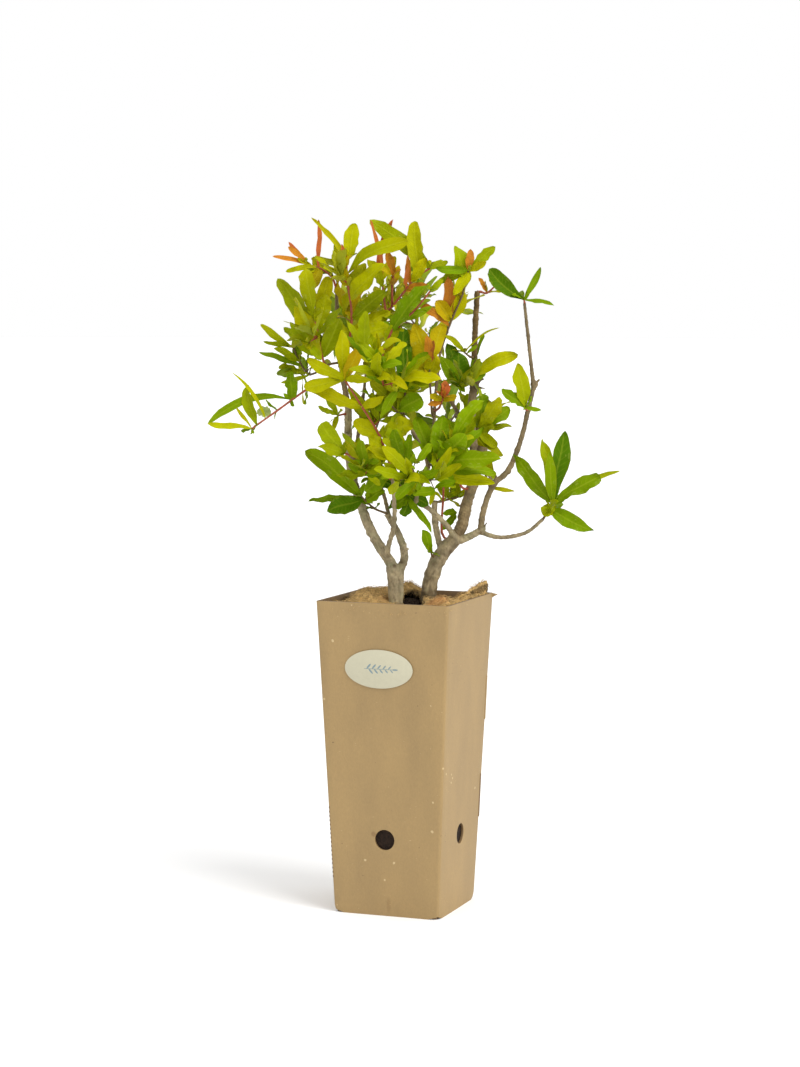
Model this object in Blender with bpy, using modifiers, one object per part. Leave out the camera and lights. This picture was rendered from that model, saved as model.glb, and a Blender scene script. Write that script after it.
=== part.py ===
"""A young pomegranate tree in a tall kraft-card planter, one named solid for each sub-part.

Metres, +Z up. The origin is the centre of the planter's underside, and its front face looks to -Y.
The crown is laid out in millimetres in a frame of its own: u runs across, w runs away from the
front and z up from the underside, and the whole crown is turned about Z by CROWN_TURN.
"""
import math
import random
from collections import namedtuple

import bmesh
import bpy
from mathutils import Matrix, Vector
from mathutils.bvhtree import BVHTree

MM = 0.001
CLEAR = 0.3
CROWN_TURN = math.radians(20.3)
GOLDEN_ANGLE = math.radians(137.5)

# Planter, in millimetres
BOX_HEIGHT = 260
BOX_TOP = 115.3
BOX_BOTTOM = 91.5
BOARD = 2.0
CREASE_RADIUS = 2.2
VENT_DIAMETER = 17
VENT_HEIGHT = 64
TAB_HEIGHTS = (88.5, 171.5)
TAB_SIZE = (3.0, 2.4, 37)
TAB_PROUD = 0.4
TAB_INSET = 1.4
LABEL_SIZE = (59, 32)
LABEL_THICK = 0.5
LABEL_BELOW_RIM = 54
LABEL_ASIDE = -3
SOIL_TOP = 249
MAT_TOP = 255
MAT_THICK = 3
MAT_CELLS = 9
MAT_DROP = 5
LUMP_HEIGHTS = (1.2, 0.8)
LUMP_LENGTHS = (11, 13, 7)
HUMP_PLACE = (-10, 40)
HUMP_HEIGHT = 12
HUMP_WIDTH = 9.5
FLAP_PLACE = (55, 36)
FLAP_HEIGHT = 17
FLAP_WIDTH = 9
FLAP_RUNS = (50, 12)

# Crown, in millimetres and degrees
TWIG_RADIUS = 0.85
SPRIG_RADIUS = 0.7
LEAF_THICK = 0.9
LEAF_LENGTHS = (24, 40)
LEAF_SHAPE = 0.29
LONG_LEAF = 42
SPRIG_LEAN = 50
ROOT_SINK = 0.5
ROOT_FLARE = 2.6
FLARE_HEIGHT = 5

BARK_OLD = (0.37, 0.31, 0.23)
BARK_YOUNG = (0.22, 0.14, 0.06)
CARD = (0.46, 0.31, 0.14)
CARD_DARK = (0.30, 0.19, 0.09)
SOIL = (0.05, 0.03, 0.02)
COIR = (0.42, 0.25, 0.09)
PAPER = (0.68, 0.62, 0.44)
GREEN = (0.24, 0.38, 0.01)
YELLOW = (0.48, 0.42, 0.01)
DEEP = (0.09, 0.22, 0.01)
ORANGE = (0.60, 0.26, 0.03)

# A limb is a tapering tube through its path's points (u, w, z). Each starts inside what carries
# it and is cut 0.3 mm clear of it, so its first point lies on that limb's own line.
Limb = namedtuple("Limb", "name path root tip colour")
LIMBS = (
    Limb("trunk_left", ((-9, -12, 244), (-9, -12, 252), (-9, -12, 258), (-8, -12, 270),
                        (-8, -12, 288)), 7.2, 6.4, BARK_OLD),
    Limb("trunk_right", ((18, 10, 244), (19, 10, 252), (19, 10, 260), (22, 10, 278), (30, 10, 295),
                         (41, 10, 308)), 7.8, 6.4, BARK_OLD),
    Limb("bough_left", ((-9, -12, 284), (-21, -11, 302), (-31, -10, 320), (-40, -8, 345),
                        (-46, -5, 368), (-48, -1, 394), (-48, 0, 419)), 4.6, 3.0, BARK_OLD),
    Limb("bough_left_top", ((-48, 0, 416), (-53, 4, 445), (-57, 8, 475), (-58, 10, 512)),
         2.6, 1.5, BARK_YOUNG),
    Limb("bough_mid", ((-7, -10, 284), (-1, -4, 297), (0, -2, 305), (-5, 0, 317), (-15, 2, 329)),
         3.6, 2.5, BARK_OLD),
    Limb("bough_mid_top", ((-14, 2, 327), (-19, 6, 346), (-27, 10, 366), (-28, 14, 392)),
         1.8, 1.2, BARK_YOUNG),
    Limb("bough_front", ((-14, -12, 294), (-15, -20, 304), (-11, -26, 326), (-10, -31, 345),
                         (-13, -34, 371)), 2.1, 1.4, BARK_OLD),
    Limb("bough_right", ((38, 10, 304), (46, 11, 317), (50, 12, 334), (57, 13, 359), (64, 14, 384)),
         5.4, 4.3, BARK_OLD),
    Limb("leader_low", ((58, 13, 364), (56, 16, 386), (54, 20, 408), (57, 22, 441)),
         4.0, 3.2, BARK_YOUNG),
    Limb("leader_top", ((57, 22, 438), (57, 24, 473), (59, 28, 513)), 2.3, 1.9, BARK_YOUNG),
    Limb("bough_outer", ((38, 10, 304), (53, 6, 310), (63, 4, 316)), 3.6, 2.7, BARK_OLD),
    Limb("bough_outer_riser", ((62, 4, 314), (65, 6, 332), (70, 8, 352), (80, 6, 365), (88, 4, 379),
                               (95, 3, 396), (101, 2, 416), (105, 0, 438)), 2.5, 1.9, BARK_YOUNG),
    Limb("bough_outer_top", ((105, 0, 436), (100, -2, 465), (96, -4, 503)), 1.8, 1.3, BARK_YOUNG),
    Limb("bough_far_right", ((61, 4, 314), (75, 0, 310), (88, -4, 311), (101, -9, 315),
                             (114, -12, 325)), 2.0, 1.5, BARK_OLD),
    Limb("bough_cross", ((42, 8, 307), (36, -4, 315), (27, -10, 325), (17, -16, 333), (6, -22, 340)),
         2.3, 1.8, BARK_OLD),
    Limb("bough_cross_riser", ((7, -21, 339), (11, -24, 352), (18, -26, 370)), 1.9, 1.6, BARK_YOUNG),
    Limb("bough_centre", ((18, -26, 368), (15, -26, 381), (8, -25, 394), (-2, -24, 411),
                          (-17, -22, 430), (-32, -20, 445)), 1.6, 1.1, BARK_YOUNG),
    Limb("bough_inner", ((17, -26, 366), (22, -16, 396), (24, -2, 428), (28, 12, 462)),
         1.6, 1.2, BARK_YOUNG),
    Limb("bough_stub", ((30, 10, 295), (26, 18, 312), (24, 24, 324), (24, 26, 338)),
         2.8, 2.4, BARK_OLD),
    Limb("bough_back_left", ((-45, -5, 364), (-41, 18, 388), (-37, 44, 418), (-34, 60, 446)),
         2.0, 1.2, BARK_YOUNG),
    Limb("bough_back_right", ((55, 18, 396), (42, 40, 414), (28, 62, 440), (18, 74, 468)),
         2.0, 1.2, BARK_YOUNG),
)

# A leaf leaves its shoot at a place on the stem (0 is the stem's first point, 1.5 lies halfway
# from its second to its third), with a bearing in the u-z plane (0 right, 90 up), a tilt away
# from the front, a length, a width and an arch, as a share of the length.
Leaf = namedtuple("Leaf", "at bearing away length width arch", defaults=(0.0,))

# A shoot is one mass of leaves: its stem leaves the bough, its own leaves reach the crown's
# outline, and its sprigs fill it in depth. spread is how far the sprigs also lean across.
Shoot = namedtuple("Shoot", "name bough stem leaves sprigs reach spread colour")
SHOOTS = (
    Shoot("leaves_far_left", "bough_left_top",
          ((-64, 0, 441), (-81, -14, 433), (-94, -22, 424), (-105, -26, 416), (-122, -32, 404),
           (-126, -34, 401)),
          (Leaf(2, 196, -12, 73, 6.6, 0.17), Leaf(2, 94, 15, 25, 9.3), Leaf(2.6, 191, 40, 17, 8.3),
           Leaf(3.6, 124, -25, 52, 2.9, 0.05), Leaf(4, 103, 20, 36, 9.3), Leaf(5, 173, -8, 37, 4.9),
           Leaf(5, 127, 15, 23, 2.9)),
          0, 0, 0.3, GREEN),
    Shoot("leaves_left_fan", "bough_left_top",
          ((-66, 10, 452), (-80, 12, 444), (-89, 16, 455), (-94, 18, 466)),
          (Leaf(1, 193, 15, 24, 3.6), Leaf(1.6, 161, 12, 38, 5), Leaf(2, 148, -15, 22, 6.3),
           Leaf(2, 98, 20, 15, 6.8), Leaf(3, 143, 10, 32, 5), Leaf(3, 164, -15, 24, 4)),
          1, 18, 0.3, GREEN),
    Shoot("leaves_left_tuft", "bough_left_top",
          ((-63, -4, 444), (-69, -16, 459), (-73, -22, 481), (-76, -24, 490)),
          (Leaf(1, 118, -15, 50, 14.6), Leaf(2, 133, 10, 53, 12.7), Leaf(2, 78, -10, 32, 11.2),
           Leaf(1, 66, 12, 36, 12), Leaf(3, 104, 20, 46, 12.2)),
          2, 20, 0.3, GREEN),
    Shoot("leaves_top_left", "bough_left_top",
          ((-58, 10, 514), (-62, 6, 526), (-72, 2, 535), (-83, 0, 539)),
          (Leaf(1, 128, 20, 28, 9.7), Leaf(1.2, 98, 10, 38, 3.4), Leaf(2, 179, -15, 30, 4),
           Leaf(3, 171, -10, 28, 3.4), Leaf(3, 134, 10, 21, 6.3), Leaf(2, 250, -25, 22, 9)),
          1, 16, 0.3, ORANGE),
    Shoot("leaves_top", "bough_left_top",
          ((-50, -4, 462), (-45, -12, 490), (-48, -14, 517), (-49, -14, 526), (-49, -14, 537)),
          (Leaf(0.3, 21, -20, 40, 14.6), Leaf(1, 39, -25, 41, 11.7), Leaf(2, 27, -10, 35, 18.3),
           Leaf(3, 29, -15, 60, 11.2, -0.08), Leaf(2.2, 60, 18, 45, 12), Leaf(3, 133, 20, 18, 7.3),
           Leaf(4, 80, 8, 33, 10.2), Leaf(4, 127, 15, 48, 6.3), Leaf(4, 102, -10, 15, 3)),
          2, 20, 0.3, GREEN),
    Shoot("leaves_top_right", "bough_left_top",
          ((-44, 12, 474), (-30, 10, 486), (-17, 8, 495), (-1, 6, 514), (7, 6, 524), (19, 8, 532)),
          (Leaf(3, 86, 0, 23, 3.8), Leaf(3.4, 108, -20, 36, 9.7), Leaf(3.6, 104, 10, 57, 5.8),
           Leaf(4, 125, 12, 60, 3.9), Leaf(5, 140, -12, 64, 12.7, 0.07), Leaf(5, 103, 10, 43, 11.7, -0.1),
           Leaf(5, 23, 15, 21, 7.3)),
          2, 20, 0.3, GREEN),
    Shoot("leaves_centre_top", "bough_centre",
          ((-24, -28, 450), (-12, -32, 481), (5, -34, 496), (19, -36, 513)),
          (Leaf(0.6, 64, -10, 21, 9.7), Leaf(1, 52, -15, 50, 15.1), Leaf(1, 30, 14, 40, 7.3),
           Leaf(3, 45, 0, 15, 4.9)),
          1, 20, 0.3, DEEP),
    Shoot("leaves_orange", "bough_inner",
          ((29, 14, 466), (37, 12, 489), (46, 8, 510), (50, 8, 527)),
          (Leaf(1, 95, -10, 38, 8.8), Leaf(1, 65, 0, 27, 11), Leaf(1, 128, -20, 23, 10.2),
           Leaf(0.8, 140, -15, 44, 6.3), Leaf(3, 110, 5, 26, 14.6), Leaf(3, 43, 10, 34, 8.8),
           Leaf(3, 85, -10, 19, 6.3), Leaf(3, 27, -20, 18, 5.8), Leaf(3, 175, -15, 29, 6.8)),
          1, 16, 0.3, ORANGE),
    Shoot("leaves_yellow", "bough_inner",
          ((21, -18, 414), (19, -24, 443), (19, -26, 455)),
          (Leaf(2, 113, -10, 36, 15.1), Leaf(2, 72, 0, 34, 11.2), Leaf(2, 92, -25, 20, 13.6),
           Leaf(1, 117, 10, 45, 12.7), Leaf(1, 76, -20, 21, 12.2), Leaf(1, 170, -15, 29, 7.3)),
          1, 18, 0.3, YELLOW),
    Shoot("leaves_leader_top", "leader_top",
          ((62, 27, 513), (67, 26, 512), (74, 24, 518)),
          (Leaf(2, 28, 0, 13, 3.4), Leaf(2, 122, 10, 13, 3.8), Leaf(1, 118, 20, 16, 3.4)),
          0, 0, 0.3, GREEN),
    Shoot("leaves_leader_mid", "leader_low",
          ((54, 16, 440), (47, 8, 437), (44, 2, 433)),
          (Leaf(2, 54, -10, 26, 10.7), Leaf(2, 92, 10, 31, 15.8), Leaf(1, 111, 14, 38, 12.2),
           Leaf(0.3, 28, -14, 43, 8.8), Leaf(0.6, 69, 24, 47, 3.4)),
          2, 18, 0.3, GREEN),
    Shoot("leaves_right_cluster", "bough_outer_riser",
          ((99, -3, 416), (98, -6, 418)),
          (Leaf(1, 100, -5, 37, 12.7), Leaf(1, 143, -10, 26, 8.8), Leaf(1, 350, -8, 14, 3.4),
           Leaf(1, 245, -30, 20, 6)),
          0, 0, 0.3, GREEN),
    Shoot("leaves_right_top", "bough_outer_top",
          ((97, -4, 504), (96, -6, 508)),
          (Leaf(1, 139, -5, 38, 12.2), Leaf(1, 60, 10, 31, 4.9), Leaf(1, 353, -10, 26, 3.6),
           Leaf(1, 110, 70, 22, 5)),
          0, 0, 0.3, DEEP),
    Shoot("leaves_far_right", "bough_far_right",
          ((116, -12, 327), (120, -14, 332), (123, -14, 337)),
          (Leaf(2, 129, 10, 54, 10.2), Leaf(2, 100, 20, 57, 9.3), Leaf(2, 96, -15, 46, 7.3),
           Leaf(2, 84, 0, 62, 13.2), Leaf(2, 32, -10, 46, 11.7), Leaf(2, 25, 15, 64, 4.4),
           Leaf(1, 339, -20, 38, 10.2, -0.08), Leaf(0.5, 60, -60, 26, 8), Leaf(1, 40, 66, 34, 9)),
          0, 0, 0.3, GREEN),
    Shoot("leaves_right_low", "bough_outer_riser",
          ((68, 14, 358), (66, 17, 364), (62, 18, 371)),
          (Leaf(0, 352, 10, 22, 3.4), Leaf(1, 341, 20, 12, 6), Leaf(2, 225, 20, 16, 6.3),
           Leaf(2, 80, 40, 18, 6)),
          0, 0, 0.3, GREEN),
    Shoot("leaves_centre_right", "leader_low",
          ((57, 22, 392), (60, 32, 399), (62, 38, 406)),
          (Leaf(1, 52, -10, 35, 12.2), Leaf(1, 33, 10, 36, 10.2), Leaf(1, 6, -15, 18, 11),
           Leaf(2, 82, 10, 23, 11.2), Leaf(0.5, 327, -10, 22, 7.8), Leaf(1, 107, 5, 31, 11.2)),
          2, 18, 0.4, GREEN),
    Shoot("leaves_centre_low", "bough_cross_riser",
          ((19, -28, 371), (26, -36, 376), (37, -40, 391)),
          (Leaf(0.5, 5, -12, 56, 14.1), Leaf(1, 45, -20, 33, 14.6), Leaf(1, 84, 10, 38, 14.6),
           Leaf(0.3, 317, -15, 27, 9.7), Leaf(2, 53, 0, 43, 10.7),
           Leaf(0.4, 350, 10, 54, 11), Leaf(0.2, 108, 14, 42, 14)),
          1, 18, 0.3, GREEN),
    Shoot("leaves_centre", "bough_centre",
          ((-2, -28, 411), (-7, -34, 415), (-12, -38, 420)),
          (Leaf(1, 31, -10, 24, 14.6), Leaf(1, 109, 10, 31, 12.2), Leaf(2, 166, 10, 20, 10.7),
           Leaf(1, 264, -15, 34, 12.2)),
          1, 18, 0.3, GREEN),
    Shoot("leaves_centre_left", "bough_front",
          ((-14, -34, 374), (-22, -36, 396), (-36, -38, 419), (-50, -40, 444)),
          (Leaf(3, 190, -10, 35, 9.7), Leaf(3, 1, -20, 24, 6.3), Leaf(3, 68, -5, 30, 9.7),
           Leaf(3, 94, 10, 42, 10.7), Leaf(2, 160, 5, 47, 9.3), Leaf(3, 150, -20, 38, 8.3),
           Leaf(2, 27, -10, 21, 7.3), Leaf(1, 151, 10, 25, 11.2), Leaf(1, 17, -15, 31, 14.6),
           Leaf(0.5, 143, -20, 20, 9.7)),
          1, 16, 0.3, YELLOW),
    Shoot("leaves_left_low", "bough_front",
          ((-14, -35, 361), (-21, -40, 367), (-34, -44, 375), (-50, -46, 382)),
          (Leaf(3, 166, -10, 24, 8.3), Leaf(3, 123, 10, 32, 13.2), Leaf(2, 134, -10, 24, 9.7),
           Leaf(1, 166, -20, 29, 12.2), Leaf(1, 118, 10, 26, 9.7), Leaf(0.5, 220, -15, 22, 12.2)),
          2, 18, 0.3, GREEN),
    Shoot("leaves_left_lower", "bough_mid",
          ((-17, -2, 330), (-26, -8, 334), (-33, -16, 341), (-37, -18, 345)),
          (Leaf(3, 143, -8, 60, 12.7), Leaf(2.5, 194, -15, 33, 13.6), Leaf(2.5, 180, 8, 47, 6.3),
           Leaf(1.5, 164, 20, 30, 3.8), Leaf(2, 30, -20, 20, 8.8)),
          0, 0, 0.3, GREEN),
    Shoot("leaves_centre_base", "bough_cross",
          ((4, -22, 343), (-1, -25, 348), (-5, -27, 355)),
          (Leaf(1, 46, -10, 19, 13), Leaf(0.5, 218, -20, 18, 11), Leaf(0.2, 305, -25, 30, 4),
           Leaf(1, 332, 15, 23, 10.2), Leaf(2, 171, 12, 18, 10.7)),
          1, 14, 0.3, DEEP),
    Shoot("leaves_trunk", "trunk_right",
          ((22, 4, 294), (21, -2, 297)),
          (Leaf(1, 112, -10, 22, 7.5), Leaf(1, 118, -50, 12, 4)),
          0, 0, 0.3, GREEN),
    Shoot("leaves_stub", "bough_stub",
          ((28, 30, 337), (36, 32, 339), (44, 33, 341)),
          (Leaf(1, 112, 10, 17, 9.7), Leaf(2, 43, 0, 12, 4.9), Leaf(1, 43, 20, 14, 7.3),
           Leaf(2, 106, 20, 16, 8.3)),
          1, 16, 0.5, GREEN),
    Shoot("leaves_red_shoot", "trunk_right",
          ((30, 18, 312), (31, 22, 338), (32, 26, 363), (33, 28, 377)),
          (Leaf(0.6, 5, 10, 13, 5.8), Leaf(2, 333, 10, 16, 7.3), Leaf(3, 113, 0, 22, 10.7),
           Leaf(3, 46, -15, 20, 7.3)),
          1, 16, 0.4, DEEP),
    Shoot("leaves_bough_end", "bough_centre",
          ((-33, -20, 447), (-27, -18, 455), (-22, -16, 460)),
          (Leaf(1, 4, -10, 24, 9), Leaf(2, 35, 10, 22, 9.7), Leaf(1, 135, 10, 22, 10),
           Leaf(1, 301, -10, 18, 9)),
          0, 0, 0.3, YELLOW),
    Shoot("leaves_left_spur", "bough_left",
          ((-51, -3, 412), (-56, -8, 411)),
          (Leaf(1, 155, 0, 19, 4), Leaf(1, 118, 15, 22, 5.8), Leaf(1, 249, -20, 14, 4)),
          0, 0, 0.3, GREEN),
    Shoot("leaves_back_left", "bough_back_left",
          ((-34, 62, 449), (-38, 78, 470), (-42, 88, 490)),
          (), 4, 26, 1.0, GREEN),
    Shoot("leaves_back_mid", "bough_mid_top",
          ((-27, 18, 394), (-20, 36, 412), (-10, 52, 430)),
          (), 3, 22, 0.8, GREEN),
    Shoot("leaves_back_right", "bough_back_right",
          ((17, 75, 471), (10, 86, 488), (4, 92, 502)),
          (), 3, 24, 0.9, DEEP),
    Shoot("leaves_back_low", "bough_back_right",
          ((42, 42, 411), (38, 60, 404), (34, 78, 398)),
          (), 3, 22, 0.7, GREEN),
    Shoot("leaves_front_low", "bough_cross_riser",
          ((12, -30, 354), (8, -52, 362), (4, -76, 374)),
          (), 3, 22, 0.8, GREEN),
    Shoot("leaves_front_top", "bough_centre",
          ((-18, -26, 432), (-20, -52, 444), (-22, -80, 458)),
          (), 3, 24, 0.9, GREEN),
)


# Scene helpers
def clear_scene():
    for obj in list(bpy.data.objects):
        bpy.data.objects.remove(obj, do_unlink=True)


def make_collection(name):
    collection = bpy.data.collections.new(name)
    bpy.context.scene.collection.children.link(collection)
    return collection


def material(name, colour, roughness=0.8):
    made = bpy.data.materials.new(name)
    made.use_nodes = True
    shader = made.node_tree.nodes["Principled BSDF"]
    shader.inputs["Base Color"].default_value = (*colour, 1)
    shader.inputs["Roughness"].default_value = roughness
    shader.inputs["Metallic"].default_value = 0
    return made


def add_object(name, data, collection, look=None):
    obj = bpy.data.objects.new(name, data)
    collection.objects.link(obj)
    if look:
        data.materials.append(look)
    return obj


def from_bmesh(name, bm, collection, look=None):
    mesh = bpy.data.meshes.new(name)
    bm.to_mesh(mesh)
    bm.free()
    return add_object(name, mesh, collection, look)


def apply_modifiers(obj):
    """The object as the viewport evaluates it becomes its plain mesh."""
    graph = bpy.context.evaluated_depsgraph_get()
    mesh = bpy.data.meshes.new_from_object(obj.evaluated_get(graph))
    obj.modifiers.clear()
    obj.data = mesh


def remove(obj):
    bpy.data.objects.remove(obj, do_unlink=True)


def boolean(obj, operation, other, solver="EXACT"):
    """One Boolean with an object or a collection, applied at once."""
    modifier = obj.modifiers.new("boolean", "BOOLEAN")
    modifier.operation = operation
    modifier.solver = solver
    if isinstance(other, bpy.types.Collection):
        modifier.operand_type = "COLLECTION"
        modifier.collection = other
    else:
        modifier.object = other
    apply_modifiers(obj)


def keep_body(obj):
    """Keeps the largest shell, so a loose scrap is dropped and a sealed hollow is filled."""
    bm = bmesh.new()
    bm.from_mesh(obj.data)
    left = set(bm.faces)
    shells = []
    while left:
        shell = {left.pop()}
        edge_of_shell = list(shell)
        while edge_of_shell:
            face = edge_of_shell.pop()
            near = {f for edge in face.edges for f in edge.link_faces} - shell
            shell |= near
            edge_of_shell += near
        left -= shell
        shells.append(shell)
    keep = max(shells, key=lambda shell: sum(face.calc_area() for face in shell))
    bmesh.ops.delete(bm, geom=[f for f in bm.faces if f not in keep], context="FACES")
    bm.to_mesh(obj.data)
    bm.free()


# Geometry in the crown's frame
def place(point):
    """Crown point (u, w, z) in millimetres to metres in the planter's frame."""
    return Matrix.Rotation(CROWN_TURN, 3, "Z") @ Vector(point) * MM


def smooth_path(points, steps=2):
    """Points on a Catmull-Rom curve through the given ones."""
    points = [Vector(p) for p in points]
    ends = [2 * points[0] - points[1], *points, 2 * points[-1] - points[-2]]
    path = []
    for a, b, c, d in zip(ends, ends[1:], ends[2:], ends[3:]):
        for step in range(steps):
            t = step / steps
            path.append(0.5 * (2 * b + (c - a) * t + (2 * a - 5 * b + 4 * c - d) * t * t
                               + (3 * b - a - 3 * c + d) * t ** 3))
    return [*path, points[-1]]


def point_at(path, at):
    """Point and direction at a place on a path, counted in its points."""
    index = min(int(at), len(path) - 2)
    start, end = Vector(path[index]), Vector(path[index + 1])
    return start.lerp(end, at - index), (end - start).normalized()


def nearest_on(path, point):
    """The point of a path nearest to a given one."""
    point = Vector(point)
    best = None
    for start, end in zip(path, path[1:]):
        run = end - start
        share = max(0.0, min(1.0, (point - start).dot(run) / run.length_squared))
        found = start + run * share
        if best is None or (found - point).length < (best - point).length:
            best = found
    return best


def taper(count, root, tip):
    return [root + (tip - root) * i / (count - 1) for i in range(count)]


def tube(name, points, radii, rounding, collection, look=None):
    """A closed tube through crown points, made a mesh."""
    curve = bpy.data.curves.new(name, "CURVE")
    curve.dimensions = "3D"
    curve.bevel_depth = MM
    curve.bevel_resolution = rounding
    curve.use_fill_caps = True
    spline = curve.splines.new("POLY")
    spline.points.add(len(points) - 1)
    for spot, point, radius in zip(spline.points, points, radii):
        spot.co = (*place(point), 1)
        spot.radius = radius
    guide = add_object(name + "_line", curve, collection)
    graph = bpy.context.evaluated_depsgraph_get()
    mesh = bpy.data.meshes.new_from_object(guide.evaluated_get(graph))
    bm = bmesh.new()
    bm.from_mesh(mesh)
    bmesh.ops.remove_doubles(bm, verts=bm.verts, dist=1e-6)
    if bm.calc_volume(signed=True) < 0:
        bmesh.ops.reverse_faces(bm, faces=bm.faces)
    bm.to_mesh(mesh)
    bm.free()
    mesh.name = name
    mesh.materials.clear()
    made = add_object(name, mesh, collection, look)
    made.matrix_world = guide.matrix_world
    remove(guide)
    return made


def grown(points, radii, by):
    """The same run, longer at both ends and thicker, for cutting its neighbours clear."""
    points = [Vector(p) for p in points]
    first = points[0] + (points[0] - points[1]).normalized() * by
    last = points[-1] + (points[-1] - points[-2]).normalized() * by
    return [first, *points[1:-1], last], [radius + by for radius in radii]


def tree_of(mesh):
    """The mesh as a tree that finds what it touches."""
    bm = bmesh.new()
    bm.from_mesh(mesh)
    tree = BVHTree.FromBMesh(bm)
    bm.free()
    return tree


# Planter
def half_width(height):
    return (BOX_BOTTOM + (BOX_TOP - BOX_BOTTOM) * height / BOX_HEIGHT) / 2


def frustum(name, low, high, inset, collection, look):
    """A closed square block that follows the planter's taper, inset from its outer face."""
    bm = bmesh.new()
    bmesh.ops.create_cube(bm, size=2)
    for vert in bm.verts:
        height = high if vert.co.z > 0 else low
        side = half_width(height) - inset
        vert.co = Vector((vert.co.x * side, vert.co.y * side, height)) * MM
    return from_bmesh(name, bm, collection, look)


def make_sleeve(parts, cutters):
    """Four tapering walls of board, with a vent in each and locking tabs on the seam."""
    bm = bmesh.new()
    bmesh.ops.create_cube(bm, size=2)
    caps = [face for face in bm.faces if abs(face.normal.z) > 0.5]
    bmesh.ops.delete(bm, geom=caps, context="FACES_ONLY")
    for vert in bm.verts:
        height = BOX_HEIGHT if vert.co.z > 0 else 0
        side = half_width(height)
        vert.co = Vector((vert.co.x * side, vert.co.y * side, height)) * MM
    creases = [edge for edge in bm.edges if abs((edge.verts[0].co - edge.verts[1].co).z) > MM]
    bmesh.ops.bevel(bm, geom=creases, offset=CREASE_RADIUS * MM, segments=2, profile=0.5,
                    affect="EDGES")
    sleeve = from_bmesh("planter_sleeve", bm, parts, material("kraft card", CARD))
    wall = sleeve.modifiers.new("wall", "SOLIDIFY")
    wall.thickness = BOARD * MM
    wall.offset = -1
    wall.use_even_offset = True
    apply_modifiers(sleeve)
    for height in TAB_HEIGHTS:
        bm = bmesh.new()
        bmesh.ops.create_cube(bm, size=1)
        bmesh.ops.scale(bm, vec=Vector(TAB_SIZE) * MM, verts=bm.verts)
        tab = from_bmesh("tab", bm, cutters)
        side = half_width(height)
        tab.location = Vector((side + TAB_PROUD, side - CREASE_RADIUS - TAB_INSET, height)) * MM
        bpy.context.view_layer.update()
        boolean(sleeve, "UNION", tab)
        remove(tab)
    for turn in range(4):
        bm = bmesh.new()
        bmesh.ops.create_cone(bm, cap_ends=True, segments=16, radius1=VENT_DIAMETER / 2 * MM,
                              radius2=VENT_DIAMETER / 2 * MM, depth=20 * MM)
        spin = Matrix.Rotation(turn * math.pi / 2, 4, "Z")
        lay = Matrix.Translation(Vector((0, -half_width(VENT_HEIGHT), VENT_HEIGHT)) * MM)
        bmesh.ops.transform(bm, matrix=spin @ lay @ Matrix.Rotation(math.pi / 2, 4, "X"),
                            verts=bm.verts)
        vent = from_bmesh("vent", bm, cutters)
        boolean(sleeve, "DIFFERENCE", vent)
        remove(vent)
    return sleeve


def make_label(parts):
    """An oval paper label that lies on the front wall."""
    bm = bmesh.new()
    bmesh.ops.create_cone(bm, cap_ends=True, segments=32, radius1=0.5, radius2=0.5, depth=1)
    bmesh.ops.scale(bm, vec=Vector((*LABEL_SIZE, LABEL_THICK)) * MM, verts=bm.verts)
    label = from_bmesh("label", bm, parts, material("label paper", PAPER, 0.6))
    slope = math.atan2((BOX_TOP - BOX_BOTTOM) / 2, BOX_HEIGHT)
    height = BOX_HEIGHT - LABEL_BELOW_RIM
    out = half_width(height) + (LABEL_THICK / 2 + CLEAR) / math.cos(slope)
    label.location = Vector((LABEL_ASIDE, -out, height)) * MM
    label.rotation_euler = (math.pi / 2 + slope, 0, 0)
    return label


def mat_height(x, y):
    """Height of the fibre mat's top: gentle lumps, a hump at the back and a torn flap."""
    lumps = LUMP_HEIGHTS[0] * math.sin(x / LUMP_LENGTHS[0] + 1) * math.cos(y / LUMP_LENGTHS[1])
    lumps += LUMP_HEIGHTS[1] * math.sin((x + y) / LUMP_LENGTHS[2])
    off = math.dist((x, y), HUMP_PLACE)
    hump = HUMP_HEIGHT * math.exp(-(off / HUMP_WIDTH) ** 2)
    behind = y - FLAP_PLACE[1]
    run = FLAP_RUNS[behind > 0]
    aside = (x - FLAP_PLACE[0]) / FLAP_WIDTH
    flap = FLAP_HEIGHT * max(0, 1 - abs(behind) / run) * math.exp(-aside ** 2)
    return MAT_TOP + lumps + hump + flap


def make_mat(parts, cutters, trunks):
    """The coir mat over the soil, cut clear of both trunks."""
    side = half_width(MAT_TOP - MAT_DROP) - BOARD - 2 * CLEAR
    bm = bmesh.new()
    bmesh.ops.create_grid(bm, x_segments=MAT_CELLS, y_segments=MAT_CELLS, size=side)
    for vert in bm.verts:
        x, y = vert.co.x, vert.co.y
        vert.co = Vector((x, y, mat_height(x, y))) * MM
    base = bmesh.ops.extrude_face_region(bm, geom=bm.faces[:])
    for item in base["geom"]:
        if isinstance(item, bmesh.types.BMVert):
            item.co.z -= MAT_THICK * MM
    bmesh.ops.recalc_face_normals(bm, faces=bm.faces)
    mat = from_bmesh("fibre_mat", bm, parts, material("coir", COIR, 0.95))
    for points, radii in trunks:
        cutter = tube("trunk_space", *grown(points, radii, CLEAR * 2), 1, cutters)
        boolean(mat, "DIFFERENCE", cutter)
        remove(cutter)
    keep_body(mat)
    return mat


# Limbs
def limb_run(limb):
    """A limb's smoothed points and its radii, with a root flare on a trunk."""
    points = smooth_path(limb.path)
    radii = taper(len(points), limb.root, limb.tip)
    if limb.name.startswith("trunk"):
        flares = [ROOT_FLARE * math.exp((SOIL_TOP - point.z) / FLARE_HEIGHT) for point in points]
        radii = [radius + min(flare, ROOT_FLARE) for radius, flare in zip(radii, flares)]
    return points, radii


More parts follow.
